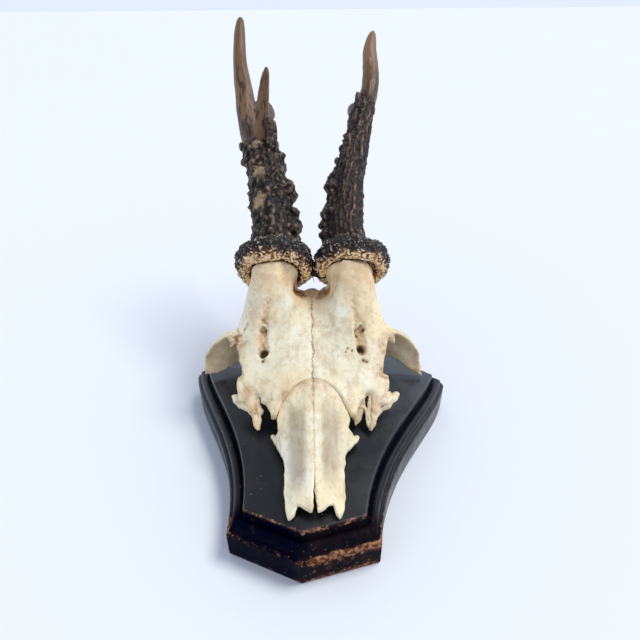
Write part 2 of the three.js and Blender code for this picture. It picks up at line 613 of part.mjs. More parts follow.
// One antler with its burr; the thin block keeps the two burrs apart
function antler(side, sign) {
  const grown = (name) => {
    const { line, radius, ridge } = ANTLERS[side][name];
    return rod(line, radius, { ridge, grow: GAP });
  };
  const thickBeam = beam(side, GAP);
  const middle = block([BURR_MIDDLE, BURR_Y, BURR_Z], [2 * GAP, 60, 60]);
  const ring = largest(burr(side, sign).subtract(pedicle(side, GAP)).subtract(thickBeam).subtract(middle));
  const group = new THREE.Group();
  group.add(piece(`burr_${side}`, ring, "burr"));
  group.add(piece(`beam_${side}`, beam(side), "bark"));
  group.add(piece(`main_tine_${side}`, tine(side, "main_tine", [thickBeam]), "tine"));
  const carried = [thickBeam, grown("main_tine")];
  group.add(piece(`front_tine_${side}`, tine(side, "front_tine", carried), "tine"));
  group.add(piece(`rear_tine_${side}`, tine(side, "rear_tine", carried), "tine"));
  return group;
}

const SIDES = [["left", -1], ["right", 1]];

const skull = new THREE.Group();
skull.rotation.z = SKULL_TURN;
skull.position.x = SKULL_SHIFT;
skull.add(piece("skull_cap", skullCap(), "bone"));
for (const [side, sign] of SIDES) {
  skull.add(piece(`nasal_${side}`, nasal(sign), "bone"));
  skull.add(piece(`maxilla_${side}`, maxilla(sign), "bone"));
  skull.add(piece(`lacrimal_${side}`, tear(sign, side), "bone"));
  skull.add(antler(side, sign));
}

const trophy = new THREE.Group();
trophy.add(piece("plaque", plaque(), "paint"));
trophy.add(skull);

export default trophy;
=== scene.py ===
"""Roe deer antler trophy: a sawn skull cap with both antlers on a black shield that lies on its back.

Sizes named here are millimetres in the skull's own frame, where x runs across, y from the nose to the
antlers and z up. The skull sits on the shield turned a little, and Blender's own numbers are metres.
"""

import itertools
import math

import bpy
import numpy as np
from mathutils import Matrix, kdtree


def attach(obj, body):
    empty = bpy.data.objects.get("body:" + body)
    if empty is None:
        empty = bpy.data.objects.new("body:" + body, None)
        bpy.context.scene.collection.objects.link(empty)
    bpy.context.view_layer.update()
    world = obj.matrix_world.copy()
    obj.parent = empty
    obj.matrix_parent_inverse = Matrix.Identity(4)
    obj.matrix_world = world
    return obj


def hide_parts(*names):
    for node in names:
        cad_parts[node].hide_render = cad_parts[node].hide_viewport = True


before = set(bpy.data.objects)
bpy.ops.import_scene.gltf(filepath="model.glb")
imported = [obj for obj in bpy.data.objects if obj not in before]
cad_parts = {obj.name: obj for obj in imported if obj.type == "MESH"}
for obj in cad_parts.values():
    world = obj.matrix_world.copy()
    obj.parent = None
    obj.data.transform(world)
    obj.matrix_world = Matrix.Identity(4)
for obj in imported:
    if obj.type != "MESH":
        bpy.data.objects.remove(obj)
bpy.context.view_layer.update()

MM = 0.001
SKULL_TURN = math.radians(4.9)
SKULL_SHIFT = 0.5
SIDES = {"left": -1, "right": 1}


# Numbers and places

def rise(value, low, high):
    """0 below low, 1 above high, and soft between."""
    share = np.clip((value - low) / (high - low), 0, 1)
    return share * share * (3 - 2 * share)


def fall(value, low, high):
    """1 below low, 0 above high, and soft between."""
    return rise(-value, -high, -low)


def near(value, middle, reach):
    """1 at middle, fading to 0 some reaches away."""
    return np.exp(-(((value - middle) / reach) ** 2))


def along_pairs(pairs, at):
    """A curve through pairs of place and value, read at each place."""
    places, values = np.array(pairs, float).T
    slopes = np.gradient(values, places)
    at = np.clip(at, places[0], places[-1])
    i = np.clip(np.searchsorted(places, at, side="right") - 1, 0, len(places) - 2)
    span = places[i + 1] - places[i]
    t = (at - places[i]) / span
    blend = t * t * (3 - 2 * t)
    ease = t * (1 - t) * span
    return values[i] + (values[i + 1] - values[i]) * blend + ease * ((1 - t) * slopes[i] - t * slopes[i + 1])


def grain(points, size, seed=0):
    """Soft random lumps from -1 to 1, a lump about size across."""
    scaled = points / size + 37.7 * seed
    cell = np.floor(scaled).astype(np.int64)
    t = scaled - cell
    t = t * t * (3 - 2 * t)
    total = np.zeros(len(points))
    for corner in itertools.product((0, 1), repeat=3):
        at = cell + np.array(corner)
        mixed = at[:, 0] * 73856093 ^ at[:, 1] * 19349663 ^ at[:, 2] * 83492791
        mixed = (mixed ^ (mixed >> 13)) * 1274126177 & 0x7FFFFFFF
        mixed = (mixed ^ (mixed >> 11)) * 668265263 & 0x7FFFFFFF
        weight = np.prod(np.where(np.array(corner) == 1, t, 1 - t), axis=1)
        total += weight * (mixed / 2**30 - 1)
    return total


def turned_flat(points, angle):
    """Points or directions turned about the upright axis."""
    x, y, z = np.asarray(points, float).reshape(-1, 3).T
    c, s = math.cos(angle), math.sin(angle)
    return np.stack([c * x - s * y, s * x + c * y, z], axis=1)


def on_shield(points):
    """Skull millimetres to metres on the shield."""
    return (turned_flat(points, SKULL_TURN) + (SKULL_SHIFT, 0, 0)) * MM


def in_skull(points):
    """Metres on the shield to skull millimetres."""
    return turned_flat(np.asarray(points, float) / MM - (SKULL_SHIFT, 0, 0), -SKULL_TURN)


def run_along(points):
    """How far along a broken line each of its points lies."""
    return np.concatenate([[0], np.cumsum(np.linalg.norm(np.diff(points, axis=0), axis=1))])


# Modelling

def only(piece):
    """Selects one piece and nothing else."""
    if bpy.context.mode != "OBJECT":
        bpy.ops.object.mode_set(mode="OBJECT")
    bpy.ops.object.select_all(action="DESELECT")
    piece.select_set(True)
    bpy.context.view_layer.objects.active = piece


def fetched(rows, key):
    """Three numbers from each of a mesh's corners."""
    found = np.empty(len(rows) * 3, np.float32)
    rows.foreach_get(key, found)
    return found.reshape(-1, 3).astype(float)


def corners(piece):
    """A mesh's corners in metres."""
    return fetched(piece.data.vertices, "co")


def skull_places(piece):
    """A mesh's corners in skull millimetres."""
    return in_skull(corners(piece))


def normals(piece):
    """A mesh's corner normals."""
    return fetched(piece.data.vertex_normals, "vector")


def skull_facing(piece):
    """A mesh's corner normals in the skull's frame."""
    return turned_flat(normals(piece), -SKULL_TURN)


def set_corners(piece, places):
    """Moves a mesh's corners."""
    piece.data.vertices.foreach_set("co", places.astype(np.float32).ravel())
    piece.data.update()


def standing_out(piece, rounds):
    """How many millimetres each corner stands out of its evened-out surroundings, below 0 in a hollow."""
    places = corners(piece)
    ends = np.empty(len(piece.data.edges) * 2, np.int32)
    piece.data.edges.foreach_get("vertices", ends)
    one, two = ends.reshape(-1, 2).T
    first, second = np.concatenate([one, two]), np.concatenate([two, one])
    shares = np.maximum(np.bincount(first, minlength=len(places)), 1)
    even = places
    for _ in range(rounds):
        even = np.stack([np.bincount(first, even[second, k], len(places)) / shares for k in range(3)], 1)
    return ((places - even) * normals(piece)).sum(1) / MM


def mark(piece, **marks):
    """Keeps numbers on the corners, for the material to read."""
    for name, values in marks.items():
        layer = piece.data.attributes.new(name, "FLOAT", "POINT")
        layer.data.foreach_set("value", np.clip(values, 0, 1).astype(np.float32))


def built(name, places, faces):
    """A new piece from its corners in metres and its faces."""
    mesh = bpy.data.meshes.new(name)
    mesh.from_pydata(places.tolist(), [], faces)
    piece = bpy.data.objects.new(name, mesh)
    bpy.context.scene.collection.objects.link(piece)
    return piece


def merged_copy(node, name):
    """A CAD node's shape as a new piece with its corners joined."""
    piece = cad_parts[node].copy()
    piece.data = piece.data.copy()
    piece.name = name
    piece.parent = None
    for key in list(piece.keys()):
        del piece[key]
    piece.data.materials.clear()
    bpy.context.scene.collection.objects.link(piece)
    only(piece)
    bpy.ops.object.mode_set(mode="EDIT")
    bpy.ops.mesh.select_all(action="SELECT")
    bpy.ops.mesh.remove_doubles(threshold=1e-6)
    bpy.ops.object.mode_set(mode="OBJECT")
    return piece


def joined(pieces, name):
    """Several pieces as one."""
    only(pieces[0])
    for piece in pieces:
        piece.select_set(True)
    bpy.ops.object.join()
    pieces[0].name = name
    return pieces[0]


def shifted(piece, way):
    """Moves a piece by some skull millimetres."""
    set_corners(piece, on_shield(skull_places(piece) + way))
    return piece


def refined(piece, where):
    """Splits the faces of a part of a mesh in four."""
    only(piece)
    bpy.ops.object.mode_set(mode="EDIT")
    bpy.ops.mesh.select_mode(type="VERT")
    bpy.ops.mesh.select_all(action="DESELECT")
    bpy.ops.object.mode_set(mode="OBJECT")
    piece.data.vertices.foreach_set("select", where)
    bpy.ops.object.mode_set(mode="EDIT")
    bpy.ops.mesh.subdivide(number_cuts=1, smoothness=0.6)
    bpy.ops.object.mode_set(mode="OBJECT")
    return piece


def fused(piece, voxel):
    """Melts a piece's overlapping parts into one even skin. The voxel is in millimetres."""
    only(piece)
    melt = piece.modifiers.new("melt", "REMESH")
    melt.mode = "VOXEL"
    melt.voxel_size = voxel * MM
    melt.use_smooth_shade = True
    bpy.ops.object.modifier_apply(modifier=melt.name)
    return piece


def softened(piece, times, where=None):
    """Evens out a skin, all over or by a share for each corner."""
    only(piece)
    soft = piece.modifiers.new("soften", "SMOOTH")
    soft.factor = 0.5
    soft.iterations = times
    if where is not None:
        group = piece.vertex_groups.new(name="where")
        for i in np.flatnonzero(where > 0.01):
            group.add([int(i)], float(where[i]), "REPLACE")
        soft.vertex_group = group.name
    bpy.ops.object.modifier_apply(modifier=soft.name)
    piece.vertex_groups.clear()
    return piece


def wrapped_sheet(name, around, along, place, ends=True):
    """A grid rolled into a closed tube by place(u, v), with its ends filled."""
    bpy.ops.object.select_all(action="DESELECT")
    bpy.ops.mesh.primitive_grid_add(x_subdivisions=around, y_subdivisions=along, size=1)
    piece = bpy.context.active_object
    piece.name = name
    u, v = (corners(piece)[:, :2] + 0.5).T
    set_corners(piece, place(u, v))
    bpy.ops.object.mode_set(mode="EDIT")
    bpy.ops.mesh.select_all(action="SELECT")
    bpy.ops.mesh.remove_doubles(threshold=1e-6)
    if ends:
        bpy.ops.mesh.select_all(action="DESELECT")
        bpy.ops.mesh.select_non_manifold()
        bpy.ops.mesh.fill_holes(sides=0)
        bpy.ops.mesh.select_all(action="SELECT")
    bpy.ops.mesh.normals_make_consistent(inside=False)
    bpy.ops.object.mode_set(mode="OBJECT")
    bpy.ops.object.shade_smooth()
    return piece


def smooth_line(line, step):
    """Evenly spaced points along a smooth curve through the line's points, with the curve's direction."""
    knots = np.array(line, float)
    chord = run_along(knots)
    fine = np.linspace(0, chord[-1], 40 * len(knots))
    points = np.stack([along_pairs(np.stack([chord, knots[:, k]], 1), fine) for k in range(3)], 1)
    run = run_along(points)
    count = max(4, int(run[-1] / step))
    even = np.linspace(0, run[-1], count)
    centre = np.stack([np.interp(even, run, points[:, k]) for k in range(3)], 1)
    along = np.gradient(centre, axis=0)
    along /= np.linalg.norm(along, axis=1)[:, None]
    return centre, along


def line_axes(along):
    """Two directions square to a curve: one as near to +X as can be, the other towards the front."""
    across = np.array([1.0, 0, 0]) - along * along[:, :1]
    across /= np.linalg.norm(across, axis=1)[:, None]
    return across, np.cross(across, along)


# Materials

class Value:
    """A node's output, added, subtracted and multiplied like a number."""

    def __init__(self, nodes, socket):
        self.nodes = nodes
        self.socket = socket

    def step(self, kind, other=0.0):
        """One step of arithmetic."""
        return self.nodes.node("ShaderNodeMath", {0: self, 1: other}, 0, operation=kind)

    def __add__(self, other):
        return self.step("ADD", other)

    def __sub__(self, other):
        return self.step("SUBTRACT", other)

    def __mul__(self, other):
        return self.step("MULTIPLY", other)

    def ramp(self, low, high, start=0.0, end=1.0):
        """The value spread smoothly from low and high to start and end."""
        inputs = {"Value": self, "From Min": low, "From Max": high, "To Min": start, "To Max": end}
        return self.nodes.node("ShaderNodeMapRange", inputs, "Result", interpolation_type="SMOOTHSTEP")

    def axis(self, letter):
        """One coordinate of a vector."""
        return self.nodes.node("ShaderNodeSeparateXYZ", {"Vector": self}, letter)


class Nodes:
    """Makes a tree's nodes with few words."""

    def __init__(self, tree):
        self.tree = tree

    def node(self, kind, inputs, output, **settings):
        """The output of a new node."""
        made = self.tree.nodes.new(kind)
        for key, value in settings.items():
            setattr(made, key, value)
        for key, value in inputs.items():
            self.feed(made.inputs[key], value)
        return Value(self, made.outputs[output])

    def feed(self, socket, value):
        """Sets a socket, or links it where the value is another node's output."""
        if isinstance(value, Value):
            self.tree.links.new(value.socket, socket)
        else:
            socket.default_value = value

    def mix(self, share, first, second):
        """Two colours mixed by a share."""
        first, second = (colour if isinstance(colour, Value) else (*colour, 1) for colour in (first, second))
        return self.node("ShaderNodeMix", {0: share, 6: first, 7: second}, 2, data_type="RGBA")


class Finish(Nodes):
    """A material with its nodes."""

    def __init__(self, name, rough, specular):
        self.material = bpy.data.materials.new(name)
        self.material.use_nodes = True
        super().__init__(self.material.node_tree)
        self.shader = self.tree.nodes["Principled BSDF"]
        self.shader.inputs["Roughness"].default_value = rough
        self.shader.inputs["Specular IOR Level"].default_value = specular
        self.place = self.node("ShaderNodeTexCoord", {}, "Object")

    def turned(self, scale=(1, 1, 1)):
        """Object coordinates turned with the skull and stretched."""
        inputs = {
            "Vector": self.place, "Location": (SKULL_SHIFT * MM, 0, 0), "Rotation": (0, 0, SKULL_TURN),
            "Scale": tuple(1 / s for s in scale),
        }
        return self.node("ShaderNodeMapping", inputs, "Vector", vector_type="TEXTURE")

    def noise(self, scale, detail=3, place=None, rough=0.55):
        """Noise with about scale lumps a metre."""
        inputs = {"Vector": place or self.place, "Scale": scale, "Detail": detail, "Roughness": rough}
        return self.node("ShaderNodeTexNoise", inputs, "Fac")

    def cells(self, scale, place=None):
        """Distance to the nearest of many scattered points."""
        return self.node("ShaderNodeTexVoronoi", {"Vector": place or self.place, "Scale": scale}, "Distance")

    def read(self, name):
        """A number kept on the mesh's corners."""
        return self.node("ShaderNodeAttribute", {}, "Fac", attribute_name=name)

    def bump(self, height, distance, strength, onto=None):
        """Fine relief, its depth in millimetres."""
        inputs = {"Height": height, "Distance": distance * MM, "Strength": strength}
        if onto:
            inputs["Normal"] = onto
        return self.node("ShaderNodeBump", inputs, "Normal")

    def done(self, colour, relief=None, rough=None, gloss=None):
        """Joins colour, relief, roughness and gloss to the shader."""
        inputs = {"Base Color": colour, "Normal": relief, "Roughness": rough, "Specular IOR Level": gloss}
        for key, value in inputs.items():
            if value is not None:
                self.feed(self.shader.inputs[key], value)
        return self.material


def scaled(colour, by):
    """A lighter or darker colour."""
    return tuple(by * c for c in colour)


def dry_bone(name, sutures=False):
    """Ivory bone with clouds, fine pores and a grain along y, and with the marked stain, tan and painted
    shade.
    """
    bone = Finish(name, 0.5, 0.35)
    long_grain = bone.turned((1, 0.4, 1))
    clouds = bone.noise(48, 3, long_grain).ramp(0.36, 0.64)
    colour = bone.mix(clouds, (0.87, 0.81, 0.62), (0.74, 0.68, 0.50))
    warm = bone.noise(31, 2, bone.turned()).ramp(0.4, 0.62)
    colour = bone.mix(warm * 0.75, colour, (0.90, 0.75, 0.46))
    patches = bone.noise(200, 5, long_grain, 0.68).ramp(0.45, 0.66)
    colour = bone.mix(patches * 0.62, colour, (0.57, 0.43, 0.25))
    pale = bone.noise(75, 4, bone.turned((1, 0.6, 1)), 0.6).ramp(0.54, 0.68)
    colour = bone.mix(pale * 0.6, colour, (0.90, 0.89, 0.78))
    tan = bone.mix(bone.noise(240, 5, rough=0.7).ramp(0.36, 0.62), (0.90, 0.69, 0.43), (0.70, 0.48, 0.27))
    colour = bone.mix(bone.read("tan") * 0.85, colour, tan)
    dirt = bone.noise(480, 6, bone.turned((1, 0.7, 1)), 0.78).ramp(0.49, 0.66)
    colour = bone.mix(dirt * 0.5, colour, (0.55, 0.41, 0.24))
    stain = bone.read("stain") * bone.noise(520, 5, rough=0.75).ramp(0.25, 0.65, 0.25, 1.25)
    colour = bone.mix(stain.ramp(0.05, 0.85), colour, (0.42, 0.235, 0.105))
    colour = bone.mix(stain.ramp(0.75, 1.25), colour, (0.12, 0.055, 0.025))
    # painted shade: darkened where the mesh marks it
    colour = bone.mix(bone.read("shade").ramp(0, 1, 0, 0.92), colour, (0.10, 0.065, 0.04))
    pores = bone.cells(900, long_grain).ramp(0.08, 0.2, 1, 0)
    gated = pores * bone.noise(95, 2).ramp(0.5, 0.62)
    colour = bone.mix(gated * 0.5, colour, (0.33, 0.20, 0.10))
    height = bone.noise(1500, 3, bone.turned((1, 0.16, 1)), 0.7) * 0.5 - pores * 0.6
    if sutures:
        line = frontal_suture(bone)
        colour = bone.mix(line * 0.8, colour, (0.33, 0.17, 0.07))
        rings = bone.noise(900, 3, bone.turned((0.15, 0.3, 1)), 0.6) * bone.read("tan")
        height = height - line * 2.5 + rings * 1.6
    relief = bone.bump(height, 0.14, 0.7)
    relief = bone.bump(bone.noise(420, 5, rough=0.65), 0.5, 0.4, relief)
    return bone.done(colour, relief, bone.noise(300, 3).ramp(0.3, 0.7, 0.42, 0.6))


def frontal_suture(bone):
    """The wandering line where both frontal bones meet, from 0 beside it to 1 on it."""
    place = bone.turned()
    x, y, z = (place.axis(letter) for letter in "XYZ")
    wide_wave = (bone.noise(190, 1, place) - 0.5) * (2.4 * MM)
    small_wave = (bone.noise(1000, 3, place) - 0.5) * (2.6 * MM)
    line = (x + (wide_wave + small_wave)).step("ABSOLUTE").ramp(0.1 * MM, 0.4 * MM, 1, 0)
    ends = y.ramp(10 * MM, 11 * MM) * y.ramp(44 * MM, 50 * MM, 1, 0.3)
    broken = bone.noise(420, 2, place).ramp(0.35, 0.55, 0.25, 1)
    return line * ends * (z.ramp(31 * MM, 33 * MM) * broken)


def burr_crust(name):
    """Knobbly crust: black with pale flecks above, tan with dark squiggles towards the skull."""
    crust = Finish(name, 0.55, 0.4)
    knob, low_band = crust.read("knob"), crust.read("low_band")
    speck = crust.noise(1500, 4, rough=0.65) - 0.5
    patch = crust.noise(260, 3) - 0.5
    # the knob term lightens the knob tops and darkens the gaps: partly the crust's own pale knobs and dark
    # furrows, partly painted highlight and painted shade
    lifted = knob * 1.35 + speck * 0.7 + patch * 0.7 + low_band * 0.46
    dark = crust.mix(low_band, (0.006, 0.005, 0.006), (0.10, 0.042, 0.016))
    middle = crust.mix(low_band, (0.040, 0.022, 0.014), (0.34, 0.165, 0.06))
    tan = crust.mix(low_band, (0.58, 0.47, 0.34), (0.86, 0.62, 0.35))
    colour = crust.mix(lifted.ramp(0.78, 1.08), dark, middle)
    colour = crust.mix(lifted.ramp(1.05, 1.5), colour, tan)
    return crust.done(colour, crust.bump(crust.noise(2200, 4), 0.2, 0.7), knob.ramp(0.2, 0.9, 0.6, 0.36))


def antler_skin(name, dark, ridge, tine, tip, streaked):
    """Dark bark on the beam, with light ridges, painted highlights on its knobs and rubbed patches, that
    gives way to smooth brown tines.
    """
    skin = Finish(name, 0.5, 0.22)
    bark, rubbed, knob = (skin.read(word) for word in ("bark", "rubbed", "knob"))
    groove, high = skin.read("groove"), skin.read("height")
    speck = skin.noise(1300, 5, rough=0.7) - 0.5
    blotch = skin.noise(330, 3) - 0.5
    broad = skin.noise(160, 3)
    hollow = skin.mix(broad.ramp(0.4, 0.65), dark, scaled(dark, 2.4))
    # the knob term is a painted highlight on the tops of pearls and lumps; the ridges, specks and blotches
    # are the bark's own colour
    light = knob * 0.75 + groove * 0.3 + speck * 0.6 + blotch * 0.9
    bark_colour = skin.mix(light.ramp(0.46, 0.8), hollow, scaled(ridge, 0.4))
    bark_colour = skin.mix(light.ramp(0.8, 1.12), bark_colour, scaled(ridge, 1.7))
    rub = (rubbed + (speck * 1.2 + blotch)).ramp(0.35, 0.75)
    bark_colour = skin.mix(rub, bark_colour, (0.36, 0.245, 0.14))
    streak = groove * 1.8 + broad * 0.9 - high.ramp(0.7, 1, streaked, 0)
    tine_colour = skin.mix(streak.ramp(0.62, 1), scaled(tine, 0.25), tine)
    tine_colour = skin.mix(high.ramp(0.4, 1) * 0.9, tine_colour, tip)
    colour = skin.mix(bark, tine_colour, bark_colour)
    relief = skin.bump(skin.noise(1700, 5, rough=0.65), 0.25, 0.8)
    rough = bark.ramp(0, 1, 0.24, 0.36) + skin.noise(700, 3) * 0.16
    return skin.done(colour, relief, rough, bark.ramp(0, 1, 0.3, 0.2))


def black_paint(name):
    """Black paint with a painted bluish reflection towards the far end, scuffed and dusty, worn to red-brown
    wood along its near edges.
    """
    paint = Finish(name, 0.33, 0.5)
    front, right_half = paint.read("front"), paint.read("right_half")
    broad = paint.noise(45, 4, rough=0.6).ramp(0.35, 0.7)
    colour = paint.mix(broad, (0.002, 0.0025, 0.004), (0.006, 0.007, 0.011))
    # painted reflection: bluish light over the far part of the shield, which also gets more gloss
    far = paint.place.axis("Y").ramp(-0.02, 0.06, 0, 0.75)
    colour = paint.mix(far, colour, (0.028, 0.040, 0.058))
    brown = front * right_half * paint.noise(160, 4).ramp(0.3, 0.6)
    colour = paint.mix(brown, colour, (0.028, 0.013, 0.014))
    moulding = paint.place.axis("Z").ramp(18.3 * MM, 18.9 * MM, 1, 0)
    colour = paint.mix(moulding * 0.7, colour, (0.0022, 0.0032, 0.0075))
    colour = paint.mix(front * right_half.ramp(0, 0.6, 1, 0), colour, (0.0008, 0.0012, 0.009))
    streaks = paint.noise(330, 4, paint.turned((1, 0.05, 1)), 0.7).ramp(0.5, 0.75)
    colour = paint.mix(streaks * 0.5, colour, (0.020, 0.017, 0.016))
    dust = paint.cells(480).ramp(0.07, 0.15, 1, 0) * paint.noise(70, 3).ramp(0.48, 0.66)
    colour = paint.mix(dust * 0.6, colour, (0.27, 0.25, 0.21))
    worn = paint.read("wear") + (paint.noise(360, 6, rough=0.75) - 0.5) * 2.4
    colour = paint.mix(worn.ramp(0.5, 0.66) * 0.7, colour, (0.05, 0.02, 0.015))
    wood = paint.mix(paint.noise(700, 3).ramp(0.4, 0.62), (0.11, 0.035, 0.018), (0.36, 0.19, 0.105))
    bare = worn.ramp(0.66, 0.76)
    colour = paint.mix(bare, colour, wood)
    relief = paint.bump(paint.noise(650, 4) * 0.4 - bare, 0.12, 0.5)
    sheen = paint.noise(120, 4).ramp(0.3, 0.7, 0.24, 0.4)
    gloss = front.ramp(0, 1, 1, 0.05) * far.ramp(0, 0.6, 0.5, 1) * moulding.ramp(0, 1, 1, 0.5)
    return paint.done(colour, relief, sheen + bare * 0.35, gloss)


def dried_skin(name):
    """Blackish dried skin."""
    skin = Finish(name, 0.7, 0.3)
    colour = skin.mix(skin.noise(700, 4), (0.006, 0.004, 0.004), (0.03, 0.014, 0.009))
    return skin.done(colour, skin.bump(skin.noise(900, 4), 0.3, 0.8))


# The shield plaque

PLAQUE_APEX = (0, -47.8)
PLAQUE_FOOT_CORNER = (25.1, -39.2)
PLAQUE_SIDE = ((26.5, -4.3), (50.9, 17.1), (55.7, 37.8))
PLAQUE_SHOULDER = ((55.6, 39.6), (54.2, 40.1), (52.2, 41.2))
PLAQUE_CROWN = ((42, 48), (29, 60), (24, 78))
PLAQUE_TOP = ((21, 89), (11, 97), (0, 97.5))
# The moulding from the back edge to the face: how far in from the outline, and how high
PLAQUE_MOULDING = (
    (0.7, 0), (0.15, 0.3), (0, 0.9), (0, 3.5), (0, 7), (0, 10.7), (0.08, 11.4), (0.4, 11.9), (0.9, 12.1),
    (1.3, 12.2), (1.5, 12.6), (1.6, 13.4), (1.95, 14.3), (2.6, 14.95), (3.4, 15.15), (4.2, 14.9),
    (4.8, 14.3), (5.05, 14.1), (5.2, 14.5), (5.28, 16), (5.36, 17.6), (5.5, 18.4), (5.8, 18.85), (6.5, 19),
)
SHARP_EDGE = math.radians(40)
# How many corners ahead a bend of the moulding is searched for a crossing
TIGHT_BEND = 16


def bend(start, curve, steps):
    """Points of a cubic curve after its start."""
    t = np.linspace(0, 1, steps + 1)[1:, None]
    a, b, c, d = (np.array(point, float) for point in (start, *curve))
    return (1 - t) ** 3 * a + 3 * (1 - t) ** 2 * t * b + 3 * (1 - t) * t**2 * c + t**3 * d


def moved_in(outline, distance):
    """A closed outline moved inwards. Where a tight bend would cross itself, its corners meet in one."""
    count = len(outline)
    ahead = np.roll(outline, -1, axis=0) - outline
    second = np.stack([-ahead[:, 1], ahead[:, 0]], 1) / np.linalg.norm(ahead, axis=1)[:, None]
    first = np.roll(second, 1, axis=0)
    moved = outline + (first + second) * (distance / (1 + (first * second).sum(1)))[:, None]
    for i in range(count):
        for j in range(i + TIGHT_BEND, i + 1, -1):
            met = meeting(*(moved[k % count] for k in (i, i + 1, j, j + 1)))
            if met is not None:
                moved[np.arange(i + 1, j + 1) % count] = met
    return moved


def meeting(a, b, c, d):
    """Where the stretch from a to b crosses the stretch from c to d, if it does."""
    def cross(one, two):
        return one[0] * two[1] - one[1] * two[0]

    turn = cross(b - a, d - c)
    if abs(turn) < 1e-12:
        return None
    s, t = cross(c - a, d - c) / turn, cross(c - a, b - a) / turn
    return a + (b - a) * s if 0 < s < 1 and 0 < t < 1 else None


def split_sides(outline, counts):
    """A closed outline with each side split into its own count of equal steps."""
    ends = np.roll(outline, -1, axis=0)
    return np.array([a + (b - a) * k / n for a, b, n in zip(outline, ends, counts) for k in range(n)])


def plaque():
    """The shield with its round outer moulding and raised face."""
    side = bend(PLAQUE_FOOT_CORNER, PLAQUE_SIDE, 24)
    shoulder = bend(PLAQUE_SIDE[2], PLAQUE_SHOULDER, 6)
    crown = bend(PLAQUE_SHOULDER[2], PLAQUE_CROWN, 16)
    top = bend(PLAQUE_CROWN[2], PLAQUE_TOP, 12)
    right = np.vstack([PLAQUE_APEX, PLAQUE_FOOT_CORNER, side, shoulder, crown, top])
    outline = np.vstack([right, right[1:-1][::-1] * (-1, 1)])
    counts = np.maximum(1, np.linalg.norm(np.roll(outline, -1, axis=0) - outline, axis=1).round()).astype(int)
    rings = [split_sides(moved_in(outline, inset), counts) for inset, _ in PLAQUE_MOULDING]
    rings = [np.column_stack([ring, np.full(len(ring), z)]) for ring, (_, z) in zip(rings, PLAQUE_MOULDING)]
    count, levels = len(rings[0]), len(rings)
    faces = [
        (a + low, b + low, b + low + count, a + low + count)
        for low in range(0, (levels - 1) * count, count)
        for a, b in ((i, (i + 1) % count) for i in range(count))
    ]
    faces.append(tuple(range((levels - 1) * count, levels * count)))
    faces.append(tuple(range(count - 1, -1, -1)))
    piece = built("plaque_wood", np.vstack(rings) * MM, faces)
    only(piece)
    bpy.ops.object.shade_smooth_by_angle(angle=SHARP_EDGE)
    place = corners(piece) / MM
    x, y, z = place.T
    inset = np.repeat([pair[0] for pair in PLAQUE_MOULDING], count)
    right_half = rise(x, -5, 6)
    near_end = fall(y, -37, -26)
    face_edge = near(inset, 5.65, 0.3) * (z > 17)
    ledge = near(inset, 0.3, 0.9) * near(z, 11.6, 1.2)
    wall = (z < 11) * fall(y, -39.2, -36.5)
    # worn at the near edges, more so on the right
    wear = face_edge * (0.82 * near_end + 0.5 * fall(y, -26, 8) * (1 - near_end))
    wear += ledge * near_end * (0.55 + 0.4 * right_half)
    wear += ledge * 0.55 * right_half * fall(y, -25, 22) * (1 - near_end)
    wear += wall * (0.12 + 0.33 * right_half + 0.4 * rise(1.5 - z, -2, 1.2))
    wear += 0.8 * near(x, -25, 2.6) * near(y, -35, 4.5) * rise(z, 8, 12) * (z < 14)
    wear += 0.25 * right_half * fall(y, -35, 5) * (z > 12.3) * (z < 18)
    front = wall + near_end * rise(z, 18.9, 18) * (z > 10)
    mark(piece, wear=wear, front=front, right_half=right_half)
    piece.data.materials.append(black_paint("black_paint"))
    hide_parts("plaque")
    return piece


# The skull's bones

BURR_X = {"left": -15.6, "right": 17.2}
BURR_Y = 57.0
BURR_Z = 61.5
BURR_TILT = math.radians(31)
# The fineness of each skin in millimetres
VOXELS = {"skull_cap": 0.6, "nasal": 0.32, "tear": 0.26, "antler": 0.42, "scraps": 0.4}
# Bars below are lines in millimetres with pairs of the share along the line and the radius there.
# The rough ridge where a wing leaves the brow
WING_ROOT = (
    ((28.5, 37, 39.8), (31, 34.5, 39.2), (32.8, 32.4, 37.8), (33.6, 31.2, 36)),
    ((0, 1.2), (0.3, 2.1), (0.7, 2), (1, 1)),
)
# The brow's broken front corners, which run on into a spike and towards a spur
BROW_SPIKES = {
    "left": (
        (((25.2, 15, 30.5), (24.4, 10, 29.4), (22.8, 5, 26.6), (21.8, 2, 24.4), (20.6, -2.2, 21.6)),
         ((0, 1.8), (0.3, 2.3), (0.6, 1.6), (0.85, 1.25), (1, 0.8))),
        (((28.2, 17, 31.6), (27.3, 13, 30.2), (26.6, 9.6, 28.8), (27, 7.4, 27.4)),
         ((0, 1.6), (0.5, 2.2), (1, 1.7))),
    ),
    "right": (
        (((25.6, 15, 30.5), (24.8, 10, 29.2), (23.3, 5, 26.4), (22.4, 1, 23.6), (21.2, -3.1, 21.2)),
         ((0, 1.8), (0.3, 2.3), (0.6, 1.7), (0.85, 1.35), (1, 0.8))),
        (((28.6, 17, 31.6), (27.8, 13, 30.2), (27.2, 9.6, 28.6), (28, 7.2, 27.2)),
         ((0, 1.6), (0.5, 2.2), (1, 1.8))),
    ),
}
# No bone goes below this height, just above the shield's face
BONE_FLOOR = 19.3
# The brow's outer edge: how far back, and how far out
BROW_RIM = ((-2, 14), (9, 24), (22, 27), (33, 29.5), (60, 40))
# The round holes at the front of the grooves: reach and depth
ROUND_HOLE = (1.05, 2.2)
